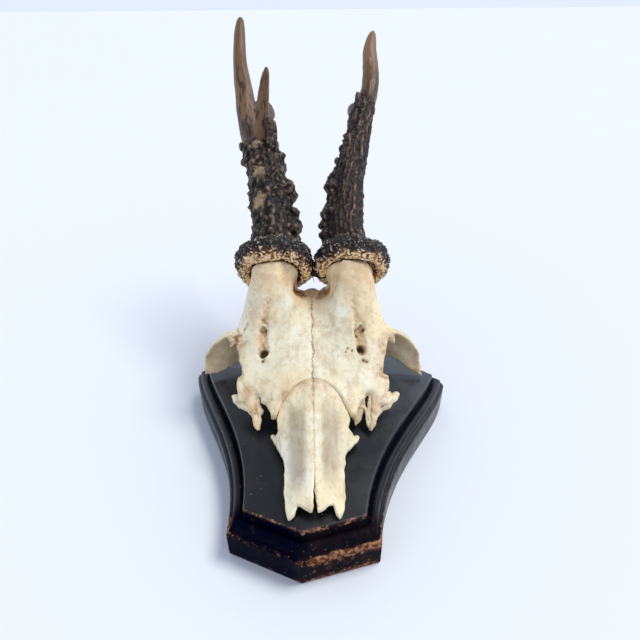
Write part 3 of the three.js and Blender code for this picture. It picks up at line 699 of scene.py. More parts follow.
# Small holes in the brow: where they lie, and their reach
SMALL_HOLES = (
    (20.3, 30.1, 0.75), (17.4, 28.6, 0.55), (17.9, 27.6, 0.5), (19.8, 18.8, 0.5), (21, 18.5, 0.4),
    (-19.4, 19.4, 0.8), (14, 22.8, 0.35), (15.6, 22, 0.35), (12.9, 21.4, 0.3), (-18.8, 30.5, 0.5),
)
# The grooves in the brow, each with its round hole at the first point
GROOVES = {
    "left": ((-19.3, 22.4), (-20.2, 27), (-19.2, 31.5), (-17.8, 35.6)),
    "right": ((19.2, 23.2), (18.8, 27.5), (18.2, 31.6), (17.0, 35.4)),
}


def distance_to(points, line):
    """How far each point lies from a broken line, and where along it, seen from above."""
    best = np.full(len(points), 1e9)
    run = np.zeros(len(points))
    for i, (a, b) in enumerate(zip(line, line[1:])):
        a, b = np.array(a, float), np.array(b, float)
        t = np.clip((points[:, :2] - a) @ (b - a) / ((b - a) @ (b - a)), 0, 1)
        away = np.linalg.norm(points[:, :2] - a - t[:, None] * (b - a), axis=1)
        closer = away < best
        best = np.where(closer, away, best)
        run = np.where(closer, (i + t) / (len(line) - 1), run)
    return best, run


def wing_root(x, y):
    """1 where the wings leave the brow, fading round it."""
    return near(np.abs(x), 30, 4.5) * near(y, 32.5, 5)


def skull_skin():
    """The skull cap's even skin, finer where it will be rough."""
    piece = merged_copy("skull_cap", "skull_cap_bone")
    bars = [(side, bar) for side in SIDES for bar in (WING_ROOT, *BROW_SPIKES[side])]
    bars = [([(SIDES[side] * x, y, z) for x, y, z in line], radius) for side, (line, radius) in bars]
    rods = horn_rods("skull_cap_rod", bars, 16, 1)
    piece = fused(joined([piece, *rods], "skull_cap_bone"), VOXELS["skull_cap"])
    x, y, z = skull_places(piece).T
    pedicle_foot = near(y, 46, 9) * near(np.abs(x), 17, 12) * rise(z, 37, 43)
    pedicle_foot *= rise(burr_depth(y, z), 1.2, 4.5)
    softened(piece, 4)
    softened(piece, 70, np.clip(pedicle_foot * 1.3, 0, 1))
    place = skull_places(piece)
    filled = np.zeros(len(place))
    for line in GROOVES.values():
        away, _ = distance_to(place, line)
        filled = np.maximum(filled, near(away, 0, 3.8) * (place[:, 2] > 33))
    softened(piece, 90, filled)
    x, y, z = skull_places(piece).T
    facing = normals(piece)
    fine = near(np.abs(x), 18.5, 3.5) * rise(y, 17, 20) * fall(y, 36, 39) * (z > 36)
    fine = np.maximum(fine, wing_root(x, y) * (z > 35))
    fine = np.maximum(fine, (y < 14) * (z > 24) * (np.abs(x) > 12))
    return refined(piece, fine * (facing[:, 2] > -0.3) > 0.3)


def skull_cap():
    """The brow, brain case, wings and pedicles as one bone."""
    piece = skull_skin()
    place = skull_places(piece)
    facing = normals(piece)
    x, y, z = place.T
    aside = np.abs(x)
    upward = rise(facing[:, 2], 0.1, 0.6)
    lift = 0.42 * grain(place, 9, 1) + 0.2 * grain(place, 3.4, 2) + 0.08 * grain(place, 1.6, 3)
    stain = 0.2 * rise(grain(place, 12, 4), 0.0, 0.7)
    tan = 0.25 * rise(grain(place, 16, 12), 0.1, 0.7)
    shade = np.zeros(len(place))
    # grooves with ragged edges, and holes
    for line in GROOVES.values():
        away, run = distance_to(place, line)
        rough = grain(place, 1.3, 5)
        channel = upward * near(away, 0, 1.9 - 0.7 * run) * (1 - 0.55 * run)
        lift -= channel * (1.3 - 1.0 * rough)
        ragged = 0.3 + 0.35 * grain(place * (1, 1.6, 1), 1.5, 16)
        lift += upward * near(away, 2.6, 0.9) * ragged * (1 - 0.5 * run)
        stain += channel * (0.45 + 0.55 * rough)
        tan += 0.9 * near(away, 0, 2.4) * upward
        hole = near(np.hypot((x - line[0][0]) / 1.3, y - line[0][1]), 0, ROUND_HOLE[0])
        lift -= upward * ROUND_HOLE[1] * hole
        # painted shade inside the round hole at the groove's front
        shade += 1.5 * hole * upward
    for hole_x, hole_y, reach in SMALL_HOLES:
        hole = np.hypot(x - hole_x, y - hole_y)
        lift -= upward * 0.8 * near(hole, 0, reach)
        # painted shade inside each small hole
        shade += 0.8 * near(hole, 0, reach) * upward
        stain += 0.5 * near(hole, 0, 2 * reach) * upward
    # the window between the pedicles, and the knobs at the wings' roots
    inner_wall = rise(z, 49.5, 53) * (1 - rise(aside, 4, 22)) * rise(y, 38, 43)
    widen = 1.9 * inner_wall * rise(burr_depth(y, z), 0.2, 5)
    lift -= 2.6 * near(aside, 3.7, 2.2) * rise(y, 43, 50) * fall(y, 55, 62) * (z < 57) * upward
    root = wing_root(x, y) * rise(z, 35, 38)
    lift += root * (0.75 * grain(place, 1.8, 6) + 0.45 * grain(place, 1.0, 7) - 0.1)
    stain += 0.75 * root * fall(grain(place, 1.8, 6), -0.5, 0.1)
    # ragged rims, warm pedicles, the crest behind and the broken front
    rim = rise(aside - along_pairs(BROW_RIM, y), -3.5, 1.5)
    rim *= fall(y, 30, 34)
    lift += rim * 0.4 * grain(place, 2.0, 9)
    stain += 0.5 * rim * rise(grain(place, 4, 10), -0.3, 0.5)
    tan += 0.45 * rim
    tan += rise(y + 0.5 * (z - 50), 38, 50) * (0.9 + 0.35 * grain(place, 7, 13))
    # painted shade on faces that look down
    shade += 0.3 * fall(facing[:, 2], -0.5, 0.2)
    stain += 0.45 * fall(burr_depth(y, z), -0.2, 2.6)
    crest = near(x, 0, 5.5) * rise(y, 40, 52) * fall(y, 56, 66)
    stain += 0.45 * crest * rise(grain(place, 2.4, 14), -0.5, 0.5)
    lift += crest * 0.25 * grain(place, 2.0, 11)
    lift -= 0.28 * near(x, 0, 0.55) * upward * rise(y, 10, 12) * (y < 55)
    front_edge = fall(y, 3, 13) * (z > 26)
    stain += 0.35 * front_edge * rise(grain(place, 3, 15), -0.2, 0.5)
    flat = rise(z, 19.6, 20.6)
    wings = rise(aside, 31, 34) * (y < 60)
    tan += 0.55 * wings + 0.4 * (y < 8) * (z < 29) * (aside > 12)
    # painted shade on the wings' faces that look to the front
    shade += 0.3 * wings * fall(facing[:, 1], -0.7, -0.1)
    moved = place + turned_flat(facing, -SKULL_TURN) * (lift * flat)[:, None]
    moved[:, 0] += np.sign(x) * widen
    moved[:, 2] = np.maximum(moved[:, 2], BONE_FLOOR)
    set_corners(piece, on_shield(moved))
    inner = near(aside, 10, 7) * near(y, 49, 8) * rise(z, 46, 49) * rise(burr_depth(y, z), -1.5, 1)
    softened(piece, 30, inner)
    hollows = fall(standing_out(piece, 10), -0.3, -0.04)
    stain += 0.5 * hollows * (z > 24)
    mark(piece, stain=stain, tan=tan, shade=shade)
    piece.data.materials.append(dry_bone("bone_with_suture", sutures=True))
    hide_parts("skull_cap")
    return piece


def burr_depth(y, z):
    """How far below the top of the pedicles a place lies, along the burrs' axis."""
    return -4.6 - ((y - BURR_Y) * math.cos(BURR_TILT) + (z - BURR_Z) * math.sin(BURR_TILT))


# Bars along the broken tear bones: the spur, and on the right a thin strut
TEAR_BARS = {
    "left": (
        (((23.5, 7.5, 28.2), (27, 7.2, 27.4), (29.8, 8.6, 26.4), (31.6, 11.2, 25.6)),
         ((0, 1.6), (0.5, 1.1), (1, 0.5))),
    ),
    "right": (
        (((25, 7, 28), (28.5, 7.4, 27), (31, 9.4, 26.4), (32.6, 11.6, 26.4)),
         ((0, 1.9), (0.5, 1.7), (1, 0.9))),
        (((14.6, 5.4, 27), (17, 4.7, 26.4), (19.2, 4.7, 26), (20.4, 2.4, 24.8), (21.2, 0.6, 23.6)),
         ((0, 0.45), (0.5, 0.4), (1, 0.55))),
    ),
}
# The sharp spurs at the sides of the snout
SNOUT_SPURS = {
    "left": (((-8, -16, 24), (-11.4, -11, 23), (-15, -4.6, 21.4)), ((0, 1.2), (0.5, 1.2), (1, 0.7))),
    "right": (((8, -16.5, 24), (11.8, -11.8, 23), (15.9, -6.2, 21.4)), ((0, 1.2), (0.5, 1.2), (1, 0.7))),
}


def small_bone(name, bone, nodes, voxel, stain_and_shade_at, bars=()):
    """A thin broken bone with ragged edges, from one or more CAD nodes and their shifts."""
    copies = [shifted(merged_copy(node, node), way) for node, way in nodes.items()]
    piece = joined([*copies, *horn_rods(f"{name}_bar", bars, 14, 0.7)], name)
    fused(piece, voxel)
    softened(piece, 2)
    place = skull_places(piece)
    facing = skull_facing(piece)
    edge = 1 - rise(np.abs(facing[:, 2]), 0.35, 0.8)
    lift = 0.04 + 0.3 * edge + 0.12 * grain(place, 4.2, 21) + 0.08 * grain(place, 1.4, 22)
    sideways = np.stack([grain(place, 2.1, 23), grain(place, 2.1, 24), np.zeros(len(place))], 1)
    moved = place + facing * lift[:, None] + 0.35 * sideways * edge[:, None]
    set_corners(piece, on_shield(moved))
    # the marks hold stain, tan and painted shade
    stain, tan, shade = stain_and_shade_at(place, facing)
    mark(piece, stain=stain, tan=tan, shade=shade)
    piece.data.materials.append(bone)
    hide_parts(*nodes)
    return piece


def nasal_stain_and_shade(place, facing):
    """Brown along a nasal bone's seams, its rear and a little on its sunken flank, with painted shade on the
    sunken flank and on faces that look down.
    """
    x, y, _ = place.T
    flank = rise(np.abs(x), 0.8, 4.2) * (1 - rise(np.abs(x) - 0.05 * y, 8, 11.5))
    flank *= fall(y, -4, 8) * rise(38 + y, 0, 14)
    cloud = 0.85 + 0.2 * grain(place * (1, 0.35, 1), 6, 31)
    seam = near(x, 0, 0.5) * rise(y, -30, -20)
    rear = rise(y + 0.04 * x * x, 4, 11)
    stain = 0.1 * flank * cloud + 0.4 * seam + 0.25 * rear
    stain += 0.2 * rise(grain(place, 6, 32), 0, 0.6)
    # painted shade on the sunken flanks, a little deeper on the left, and on faces that look down
    shade = 0.54 * flank * cloud * (1 - 0.08 * np.sign(x)) + 0.45 * fall(facing[:, 2], -0.5, 0.1)
    return stain, 0.12 * flank + 0.3 * rear, shade


def broken_stain_and_shade(place, facing):
    """Random brown patches and tan on a broken bone, with painted shade on faces that look down."""
    stain = 0.45 * rise(grain(place, 2.4, 33), -0.1, 0.6)
    # painted shade on faces that look down
    return stain, 0.4 + 0.3 * grain(place, 4, 34), 0.4 * fall(facing[:, 2], -0.6, 0)


# The antlers

# A burr's outline from the skull to the beam: how far from its axis, and how far along it
BURR_PROFILE = (
    (8.6, -4.2), (9.9, -4.35), (10.7, -4.9), (11.5, -5.8), (12.5, -6.3), (13.7, -6.2), (14.9, -5.4),
    (15.9, -3.8), (16.4, -1.8), (16.6, 0.2), (16.3, 2), (15.5, 3.4), (14.2, 4.5), (12.7, 5.1), (11.3, 5.1),
    (10.2, 4.4), (9.4, 3.2),
)
BURR_SCALE = {"left": 1.02, "right": 0.98}
BURR_GRID = (320, 84)
KNOBS = 1700
BURR_SEED = {"left": 41, "right": 42}
ANTLER_SEED = {"left": 51, "right": 61}
ANTLERS = {
    "left": {
        "beam": (
            ((-15.6, 60.3, 62.9), (-16.4, 68.2, 68), (-16.4, 76.8, 73.1), (-18.4, 86, 79), (-20.3, 97, 86.2),
             (-22.8, 107.7, 93.6), (-25.4, 115.5, 99)),
            ((0, 10.2), (0.15, 9.4), (0.4, 9), (0.6, 8.6), (0.8, 8.2), (0.92, 7.4), (1, 6.4)),
        ),
        "main_tine": (
            ((-25.6, 111, 96), (-29, 121, 102.8), (-30.9, 129, 108.4), (-32.4, 139, 116), (-34, 147, 122.2),
             (-35.6, 158, 131), (-36.2, 170, 140.8), (-36.1, 180.1, 149.3)),
            ((0, 5.8), (0.18, 5), (0.35, 4.9), (0.5, 4.4), (0.65, 3.6), (0.8, 3.2), (0.93, 2.5), (0.98, 1.7),
             (1, 0.9)),
        ),
        "front_tine": (
            ((-22.8, 107, 92), (-22.8, 110.2, 101), (-22, 112, 109), (-20.7, 114.4, 120),
             (-18.6, 117, 131.1)),
            ((0, 4.6), (0.3, 3.8), (0.55, 3.1), (0.8, 2.3), (0.95, 1.4), (1, 0.7)),
        ),
        "rear_tine": (
            ((-30.2, 127, 107), (-26.4, 132.5, 111), (-22.5, 137, 111.4), (-20.4, 142.5, 108.7),
             (-18.9, 149.4, 103.4)),
            ((0, 3.6), (0.35, 3.1), (0.7, 2.1), (0.9, 1.4), (1, 0.6)),
        ),
    },
    "right": {
        "beam": (
            ((17.2, 60.3, 62.9), (15.2, 70.9, 69.6), (15.9, 78.7, 74.3), (17, 86.7, 79.2), (18.6, 96, 85.3),
             (21, 105.5, 91.6), (23.4, 115.5, 98.6), (26, 125.5, 105.8), (28.6, 133.5, 111.7)),
            ((0, 9.6), (0.12, 8.6), (0.3, 7.7), (0.5, 7), (0.7, 6.3), (0.9, 5.8), (1, 5.2)),
        ),
        "main_tine": (
            ((27.2, 129, 108.4), (30.4, 137.2, 114.6), (32.2, 144, 119.8), (33, 154, 127.6),
             (33.3, 162.6, 134.6), (34.6, 168.4, 139.6), (35.7, 172.2, 142.6)),
            ((0, 5), (0.2, 4.5), (0.55, 4.1), (0.75, 3.6), (0.9, 2.6), (0.97, 1.6), (1, 0.8)),
        ),
        "front_tine": (
            ((26.6, 128.6, 105), (25.8, 131, 112), (24.8, 134, 118)),
            ((0, 3.8), (0.6, 2.4), (1, 0.9)),
        ),
        "rear_tine": (
            ((27.6, 128.6, 107.4), (26.2, 134.5, 110.2), (23.6, 140.5, 109.2), (21.8, 149.6, 104.5)),
            ((0, 3.8), (0.4, 3), (0.75, 2), (1, 0.6)),
        ),
    },
}
# Ragged ends of the beams' bark, which stand up round the feet of the tines
CROWNS = {
    "left": (
        (((-19, 104, 92), (-17.6, 104.6, 100), (-17, 105.4, 104.5), (-17.6, 107, 108.5),
          (-19.2, 108.7, 112.8)),
         ((0, 3.2), (0.5, 2.4), (0.8, 2.2), (1, 0.9))),
        (((-18.5, 105.5, 103), (-15.4, 105, 104)), ((0, 1.8), (1, 1.5))),
        (((-18.5, 107, 107.5), (-16, 107, 108.8)), ((0, 1.8), (1, 1.4))),
        (((-28, 112, 94), (-29.5, 113, 99)), ((0, 3), (1, 1))),
    ),
    "right": (
        (((25.6, 124, 105.5), (24.8, 128, 112.5), (24.3, 131, 117.8)), ((0, 3), (0.6, 2), (1, 0.9))),
        (((28, 125.5, 107.5), (27.6, 128.6, 112.5), (27.2, 130.4, 116.2)), ((0, 3.2), (0.6, 2.4), (1, 1.1))),
        (((30, 127, 109), (30.2, 129.6, 113), (30.4, 131, 115.8)), ((0, 2.8), (0.6, 2), (1, 0.9))),
    ),
}
# Large lumps of the beams: share of the beam, angle round it (0 is +X, 90 the front) and size
LUMPS = {
    "left": (
        (0.1, 12, 3.4), (0.15, -22, 3.2), (0.19, 20, 5.2), (0.25, -4, 6.6), (0.3, 14, 5.4), (0.33, -16, 5.2),
        (0.49, -4, 7.6), (0.54, 10, 6.8), (0.58, -16, 5.6), (0.68, 5, 3.0), (0.74, -10, 3.4), (0.82, 2, 5.4),
        (0.9, 8, 3.0), (0.2, 200, 2.6), (0.45, 190, 2.6), (0.66, 205, 2.6), (0.3, 120, 2.4), (0.52, 100, 2.6),
        (0.72, 130, 2.6), (0.4, 60, 2.4), (0.62, 50, 2.4), (0.8, 170, 2.6), (0.86, 95, 2.4), (0.1, 150, 2.2),
        (0.93, 30, 3.4), (0.97, 22, 3.4), (0.95, 60, 2.4), (0.95, 165, 2.8),
    ),
    "right": (
        (0.12, 170, 5.2), (0.18, 190, 5.6), (0.25, 174, 5), (0.3, 195, 4.2), (0.4, 172, 6.8),
        (0.45, 186, 6.6), (0.1, 196, 4), (0.35, 205, 3.6), (0.52, 180, 2.2), (0.6, 186, 2),
        (0.68, 178, 1.6), (0.22, 140, 2),
    ),
}
# Pearls in clusters: how many, the stretch of the beam, the angles round it and sizes
PEARLS = {
    "left": (
        (170, (0.03, 0.9), (25, 240), (0.8, 1.7)),
        (60, (0.05, 0.9), (235, 335), (0.9, 1.8)),
        (40, (0.60, 0.97), (-35, 35), (0.8, 1.7)),
        (26, (0.84, 0.97), (40, 230), (0.9, 1.9)),
    ),
    "right": (
        (30, (0.04, 0.5), (150, 212), (1.2, 2.2)),
        (24, (0.47, 0.78), (150, 208), (0.7, 1.4)),
        (26, (0.03, 0.4), (212, 330), (0.9, 1.8)),
        (26, (0.02, 0.3), (60, 150), (0.6, 1.1)),
    ),
}
ANTLER_COLOURS = {
    "left": {
        "dark": (0.005, 0.004, 0.004), "ridge": (0.19, 0.125, 0.08), "streaked": 0.16,
        "tine": (0.178, 0.094, 0.044), "tip": (0.135, 0.07, 0.031),
    },
    "right": {
        "dark": (0.006, 0.004, 0.004), "ridge": (0.15, 0.09, 0.06), "streaked": 0.7,
        "tine": (0.23, 0.13, 0.066), "tip": (0.22, 0.12, 0.055),
    },
}
# How strongly each beam is lined, how deep its ridges are, and how high its tine ends
RIDGES = {
    "left": {"lines": 0.2, "depth": 0.38, "tip_height": 150},
    "right": {"lines": 0.7, "depth": 0.55, "tip_height": 143},
}
# Where the left beam's crust is rubbed to smooth tan: centre and reach
RUBBED = {
    "left": (((-22, 78, 81), 4.5), ((-22.5, 92, 90), 4.5), ((-24.5, 104, 100), 3)),
    "right": (),
}


def along_burr(side, across, front, along):
    """Places given across, in front of and along a burr's axis."""
    c, s = math.cos(BURR_TILT), math.sin(BURR_TILT)
    y, z = BURR_Y + along * c - front * s, BURR_Z + along * s + front * c
    return np.stack([BURR_X[side] + across, y, z], 1)


def burr(side):
    """The knobbly ring round the foot of a beam."""
    seed = BURR_SEED[side]
    profile = np.array(BURR_PROFILE)
    run = run_along(profile)
    scale = BURR_SCALE[side]

    def place(u, v):
        turn = 2 * math.pi * u
        radius = np.interp(v * run[-1], run, profile[:, 0]) * scale
        along = np.interp(v * run[-1], run, profile[:, 1])
        wave = 0.7 * np.sin(3 * turn + SIDES[side]) * np.sin(math.pi * v)
        return on_shield(along_burr(side, np.cos(turn) * radius, np.sin(turn) * radius, along + wave))

    outer = wrapped_sheet(f"burr_{side}_crust", *BURR_GRID, place, ends=False)
    draw = np.random.default_rng(seed)
    spots = np.stack([draw.random(KNOBS), draw.uniform(0.01, 0.99, KNOBS), draw.uniform(0.9, 1.6, KNOBS)], 1)
    centres = in_skull(place(spots[:, 0], spots[:, 1]))
    tree = kdtree.KDTree(len(centres))
    for i, centre in enumerate(centres):
        tree.insert(centre, i)
    tree.balance()
    places = corners(outer)
    facing = normals(outer)
    local = in_skull(places)
    bent = local + 1.5 * np.stack([grain(local, 1.7, seed + k) for k in (5, 6, 7)], 1)
    knob = np.zeros(len(places))
    for i, corner in enumerate(bent):
        (_, first, a), (_, _, b) = tree.find_n(corner, 2)
        knob[i] = 0.45 * max(0.0, 1 - (a / spots[first, 2]) ** 2) + 0.55 * min(1.0, (b - a) / 1.2)
    lumps = grain(local, 4.5, seed) + 0.5 * grain(local, 2.4, seed + 2)
    lift = 1.5 * knob + 0.55 * lumps - 0.75
    set_corners(outer, places + facing * (lift * MM)[:, None])
    # how far each corner stands out; the crust paints knob tops lighter and gaps darker with it, partly as
    # painted highlight and painted shade
    knob = np.clip(0.5 + standing_out(outer, 14) / 0.9, 0, 1)
    axis = np.array([0, math.cos(BURR_TILT), math.sin(BURR_TILT)])
    height = (local - np.array([BURR_X[side], BURR_Y, BURR_Z])) @ axis
    low_band = 1 - rise(height + 1.3 * grain(local, 2.8, seed + 1), -6.2, -2.2)
    mark(outer, knob=knob, low_band=low_band)
    piece = joined([outer, burr_core(side, place)], f"burr_{side}_crust")
    piece.data.materials.append(burr_crust(f"burr_crust_{side}"))
    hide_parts(f"burr_{side}")
    return piece


def burr_core(side, place):
    """The plain inner wall that closes the ring against the bone and the beam."""
    def inner(u, v):
        low, high = place(u, np.zeros(len(u))), place(u, np.ones(len(u)))
        return low * (1 - v[:, None]) + high * v[:, None]

    wall = wrapped_sheet(f"burr_{side}_wall", 96, 3, inner, ends=False)
    plain = np.zeros(len(wall.data.vertices))
    mark(wall, knob=plain, low_band=plain)
    return wall


def horn_rod(name, line, radius, sides, step):
    """A closed round rod along a line."""
    centre, along = smooth_line(line, step)
    across, front = line_axes(along)
    count = len(centre)

    def place(u, v):
        i = np.clip(np.round(v * (count - 1)).astype(int), 0, count - 1)
        turn = 2 * math.pi * u
        wide = along_pairs(radius, v)
        ring = across[i] * (np.cos(turn) * wide)[:, None] + front[i] * (np.sin(turn) * wide)[:, None]
        return on_shield(centre[i] + ring)

    return wrapped_sheet(name, sides, count - 1, place)


def horn_rods(name, bars, sides, step):
    """A rod for each of some bars."""
    return [horn_rod(f"{name}_{i}", line, radius, sides, step) for i, (line, radius) in enumerate(bars)]


def pearl_cluster(side, seed):
    """One beam's pearls: balls stretched along it with their roots sunk in, and lumps studded with more."""
    line, radius = ANTLERS[side]["beam"]
    centre, along = smooth_line(line, 0.5)
    across, front = line_axes(along)
    draw = np.random.default_rng(seed)
    bpy.ops.object.select_all(action="DESELECT")
    bpy.ops.mesh.primitive_ico_sphere_add(subdivisions=2, radius=1)
    ball = bpy.context.active_object
    round_ball = corners(ball)
    faces = [tuple(face.vertices) for face in ball.data.polygons]
    bpy.data.objects.remove(ball)
    balls = []

    def seat(t, turn, sunk):
        i = int(round(t * (len(centre) - 1)))
        out = across[i] * math.cos(turn) + front[i] * math.sin(turn)
        return centre[i] + out * (along_pairs(radius, np.array([t]))[0] - sunk), out, along[i]

    def add(place, out, way, half):
        beside = np.cross(out, way)
        twist = draw.uniform(-0.6, 0.6)
        long_way = way * math.cos(twist) + beside * math.sin(twist)
        axes = (np.cross(long_way, out) * half[0], long_way * half[1], out * half[2])
        balls.append(place + round_ball @ np.stack(axes))

    for count, (start, end), (low, high), (small, large) in PEARLS[side]:
        for k in range(count):
            size = small + (large - small) * draw.random() ** 1.5
            place, out, way = seat(start + (end - start) * (k + draw.random()) / count,
                                   math.radians(draw.uniform(low, high)), 0.2 * size)
            add(place, out, way, (0.72 * size, 1.25 * size, size))
    for t, turn, size in LUMPS[side]:
        place, out, way = seat(t, math.radians(turn), 0.35 * size)
        add(place, out, way, (0.62 * size, 0.85 * size, 0.92 * size))
        for _ in range(int(3.4 * size)):
            aside = draw.normal(size=3) + out * 0.5
            aside /= np.linalg.norm(aside)
            stud = draw.uniform(0.8, 1.5)
            reach = 0.72 * size * (0.8 + 0.3 * abs(aside @ out))
            add(place + aside * reach, aside, np.cross(aside, beside_of(aside)), (stud, 1.3 * stud, stud))
    all_faces = [tuple(v + len(round_ball) * n for v in face) for n in range(len(balls)) for face in faces]
    return built(f"pearls_{side}", on_shield(np.vstack(balls)), all_faces)


def beside_of(way):
    """A direction square to another."""
    beside = np.cross(way, (0.3, 0.9, 0.3))
    return beside / np.linalg.norm(beside)


def nearest_line(place, side):
    """Each corner's nearest rod: the way to its line, its radius, the share along it, angle and number."""
    best = np.full(len(place), 1e9)
    found = {key: np.zeros(len(place)) for key in ("away", "radius", "share", "turn", "rod")}
    for number, (line, radius) in enumerate(ANTLERS[side].values()):
        centre, along = smooth_line(line, 1.0)
        across, front = line_axes(along)
        i = np.argmin(((place[:, None, :] - centre[None]) ** 2).sum(2), axis=1)
        share = i / (len(centre) - 1)
        offset = place - centre[i]
        away = np.linalg.norm(offset, axis=1)
        wide = along_pairs(radius, share)
        outside = away - wide
        closer = outside < best
        best = np.where(closer, outside, best)
        turn = np.arctan2((offset * front[i]).sum(1), (offset * across[i]).sum(1))
        rod = np.full(len(place), number)
        values = {"away": away, "radius": wide, "share": share, "turn": turn, "rod": rod}
        for key, value in values.items():
            found[key] = np.where(closer, value, found[key])
    return found


def antler(side):
    """A beam with its pearls and its tines, melted into one skin, then ridged."""
    seed = ANTLER_SEED[side]
    rods = [
        horn_rod(f"{name}_{side}", line, radius, 56 if name == "beam" else 36, 0.8)
        for name, (line, radius) in ANTLERS[side].items()
    ]
    crown = horn_rods(f"crown_{side}", CROWNS[side], 24, 0.8)
    piece = joined([*rods, *crown, pearl_cluster(side, seed)], f"antler_{side}")
    fused(piece, VOXELS["antler"])
    softened(piece, 1)
    place = skull_places(piece)
    found = nearest_line(place, side)
    on_beam = found["rod"] == 0
    bark = np.where(on_beam, 1 - rise(found["share"] + 0.06 * grain(place, 3, seed), 0.9, 0.98), 0)
    if side == "right":
        bark = np.where(on_beam, 1.0, 1 - rise(found["share"] + 0.04 * grain(place, 3, seed), 0.1, 0.2))
    proud = rise(found["away"] - found["radius"], 0.5, 1.3) * (found["share"] < 0.6)
    bark = np.maximum(bark, np.where(on_beam | (place[:, 2] > 120), 0, proud))
    softened(piece, 6, 1 - bark)
    place = skull_places(piece)
    facing = skull_facing(piece)
    run = np.where(on_beam, found["share"] * 75, found["share"] * 70)
    ridge_place = np.stack([found["turn"] * 4.2, run * 0.16, found["rod"] * 9], 1)
    ridge = grain(ridge_place, 1.0, seed + 1) + 0.5 * grain(ridge_place, 0.45, seed + 2)
    lines = 1 - rise(np.abs(grain(ridge_place * (1.3, 0.5, 1), 1.0, seed + 5)), 0.03, 0.22)
    ridge += RIDGES[side]["lines"] * (lines - 0.3)
    groove = np.clip(0.4 + 0.45 * ridge, 0, 1)
    rubbed = np.zeros(len(place))
    for centre, reach in RUBBED[side]:
        rubbed = np.maximum(rubbed, near(np.linalg.norm(place - np.array(centre), axis=1), 0, reach))
    depth = np.where(on_beam, RIDGES[side]["depth"], 0.24 * (1 - 0.7 * found["share"]))
    lift = depth * ridge * (1 - 0.7 * rubbed)
    fine = 0.3 * grain(place, 1.6, seed + 3) + 0.2 * grain(place, 0.9, seed + 4)
    lift += bark * fine * (1 - 0.8 * rubbed)
    set_corners(piece, on_shield(place + facing * lift[:, None]))
    # how far each corner stands out; the skin paints highlights on the tops with it
    knob = np.clip(0.5 + standing_out(piece, 12) / 0.5, 0, 1)
    height = rise(place[:, 2], 96, RIDGES[side]["tip_height"])
    mark(piece, bark=bark, rubbed=rubbed, knob=knob, groove=groove, height=height)
    piece.data.materials.append(antler_skin(f"antler_skin_{side}", **ANTLER_COLOURS[side]))
    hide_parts(*(f"{name}_{side}" for name in ANTLERS[side]))
    return piece


# The bars that the scraps of skin under the burrs are made from
SKIN_BARS = (
    (((-8, 51.5, 61), (-5.4, 52.6, 60), (-2.6, 53.6, 58.8), (0.4, 54.4, 58.2)),
     ((0, 1.0), (0.3, 1.7), (0.7, 1.5), (1, 1.2))),
    (((0, 54.2, 58.6), (2.4, 53.8, 57.6), (4.6, 52.8, 57), (6.4, 51.6, 57)),
     ((0, 1.3), (0.4, 1.4), (1, 0.8))),
)
HAIRS = 16
HAIR_RADIUS = ((0, 0.16), (0.6, 0.13), (1, 0.05))


def dried_scraps():
    """Scraps of dried skin with a few hairs, under the burrs where they meet."""
    scraps = fused(joined(horn_rods("scrap", SKIN_BARS, 20, 0.5), "dried_skin_scraps"), VOXELS["scraps"])
    place = skull_places(scraps)
    facing = skull_facing(scraps)
    lift = 0.7 * grain(place, 2.2, 71) + 0.35 * grain(place, 1.0, 72)
    set_corners(scraps, on_shield(place + facing * lift[:, None]))
    draw = np.random.default_rng(73)
    hairs = []
    for _ in range(HAIRS):
        start = np.array([draw.uniform(-4.5, 1.5), draw.uniform(53, 55), 58])
        hang = np.array([draw.uniform(-2.2, 2.2), draw.uniform(-0.5, 1.5), -draw.uniform(2.2, 4.6)])
        curl = draw.normal(size=3) * 0.6
        hairs.append(((start, start + hang * 0.5 + curl, start + hang), HAIR_RADIUS))
    piece = joined([scraps, *horn_rods("hair", hairs, 6, 0.7)], "dried_skin_scraps")
    piece.data.materials.append(dried_skin("dried_skin"))
    return piece


# Camera, light and floor

CAMERA_PLACE = (12.10, -129.22, 153.31)
CAMERA_DOWN = math.radians(33)
CAMERA_YAW = math.radians(3.93)
CAMERA_ROLL = math.radians(-0.5)
CAMERA_LENS = 27
CAMERA_SENSOR = 36
CAMERA_RANGE = (0.01, 400)
FLOOR_SIZE = 200
FLOOR_COLOUR = (0.80, 0.83, 0.90, 1)
SURROUND_LOW = (0.78, 0.86, 1)
SURROUND_HIGH = (0.34, 0.38, 0.44)
SUN_PLACE = (0.5, 0.2, 1)
SUN_COLOUR = (1, 0.975, 0.93)
SUN_STRENGTH = 2.0
SUN_WIDTH = math.radians(24)


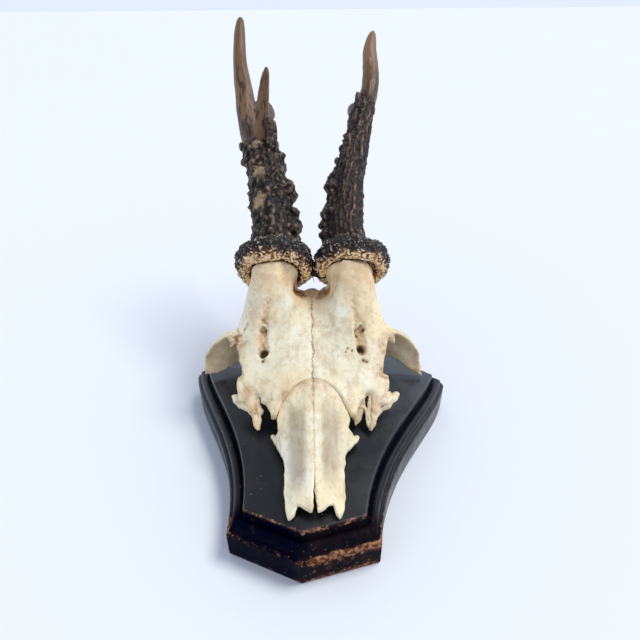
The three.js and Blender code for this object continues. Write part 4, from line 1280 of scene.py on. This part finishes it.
def camera():
    """The camera, low in front of the nose."""
    ahead = np.array([
        -math.sin(CAMERA_YAW) * math.cos(CAMERA_DOWN),
        math.cos(CAMERA_YAW) * math.cos(CAMERA_DOWN),
        -math.sin(CAMERA_DOWN),
    ])
    right = np.array([math.cos(CAMERA_YAW), math.sin(CAMERA_YAW), 0])
    up = np.cross(right, ahead)
    c, s = math.cos(CAMERA_ROLL), math.sin(CAMERA_ROLL)
    axes = np.stack([c * right + s * up, c * up - s * right, -ahead], 1)
    lens = bpy.data.cameras.new("camera")
    lens.lens = CAMERA_LENS
    lens.sensor_width = CAMERA_SENSOR
    lens.clip_start, lens.clip_end = CAMERA_RANGE
    stand = bpy.data.objects.new("camera", lens)
    bpy.context.scene.collection.objects.link(stand)
    place = Matrix.Translation([value * MM for value in CAMERA_PLACE])
    stand.matrix_world = place @ Matrix(axes.tolist()).to_4x4()
    bpy.context.scene.camera = stand


def studio():
    """A pale floor, a pale surround that is brightest low down, and a broad soft light from the right."""
    bpy.ops.object.select_all(action="DESELECT")
    bpy.ops.mesh.primitive_plane_add(size=FLOOR_SIZE)
    floor = bpy.context.active_object
    floor.name = "floor"
    floor.data.materials.append(Finish("pale_floor", 0.8, 0.2).done(FLOOR_COLOUR))
    world = bpy.data.worlds.new("surround")
    bpy.context.scene.world = world
    world.use_nodes = True
    sky = Nodes(world.node_tree)
    height = sky.node("ShaderNodeTexCoord", {}, "Generated").axis("Z")
    colour = sky.mix(height.ramp(0.58, 0.8), SURROUND_LOW, SURROUND_HIGH)
    sky.feed(sky.tree.nodes["Background"].inputs["Color"], colour)
    lamp = bpy.data.lights.new("key", "SUN")
    lamp.energy = SUN_STRENGTH
    lamp.angle = SUN_WIDTH
    lamp.color = SUN_COLOUR
    stand = bpy.data.objects.new("key", lamp)
    bpy.context.scene.collection.objects.link(stand)
    stand.location = SUN_PLACE
    stand.rotation_euler = (-stand.location).to_track_quat("-Z", "Y").to_euler()
    bpy.context.scene.view_settings.view_transform = "Standard"


def trophy():
    """Every piece of the trophy."""
    bone = dry_bone("bone")
    pieces = [plaque(), skull_cap()]
    for side, sign in SIDES.items():
        snout = {f"nasal_{side}": (0, 0, 0), f"maxilla_{side}": (-0.5 * sign, 0, 0)}
        tear = {f"lacrimal_{side}": (-0.2 * sign, 0.8, 0)}
        pieces += [
            small_bone(f"nasal_{side}_bone", bone, snout, VOXELS["nasal"], nasal_stain_and_shade, [SNOUT_SPURS[side]]),
            small_bone(f"lacrimal_{side}_bone", bone, tear, VOXELS["tear"], broken_stain_and_shade, TEAR_BARS[side]),
            burr(side),
        ]
    pieces += [dried_scraps(), antler("left"), antler("right")]
    for piece in pieces:
        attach(piece, "root")


camera()
studio()
trophy()
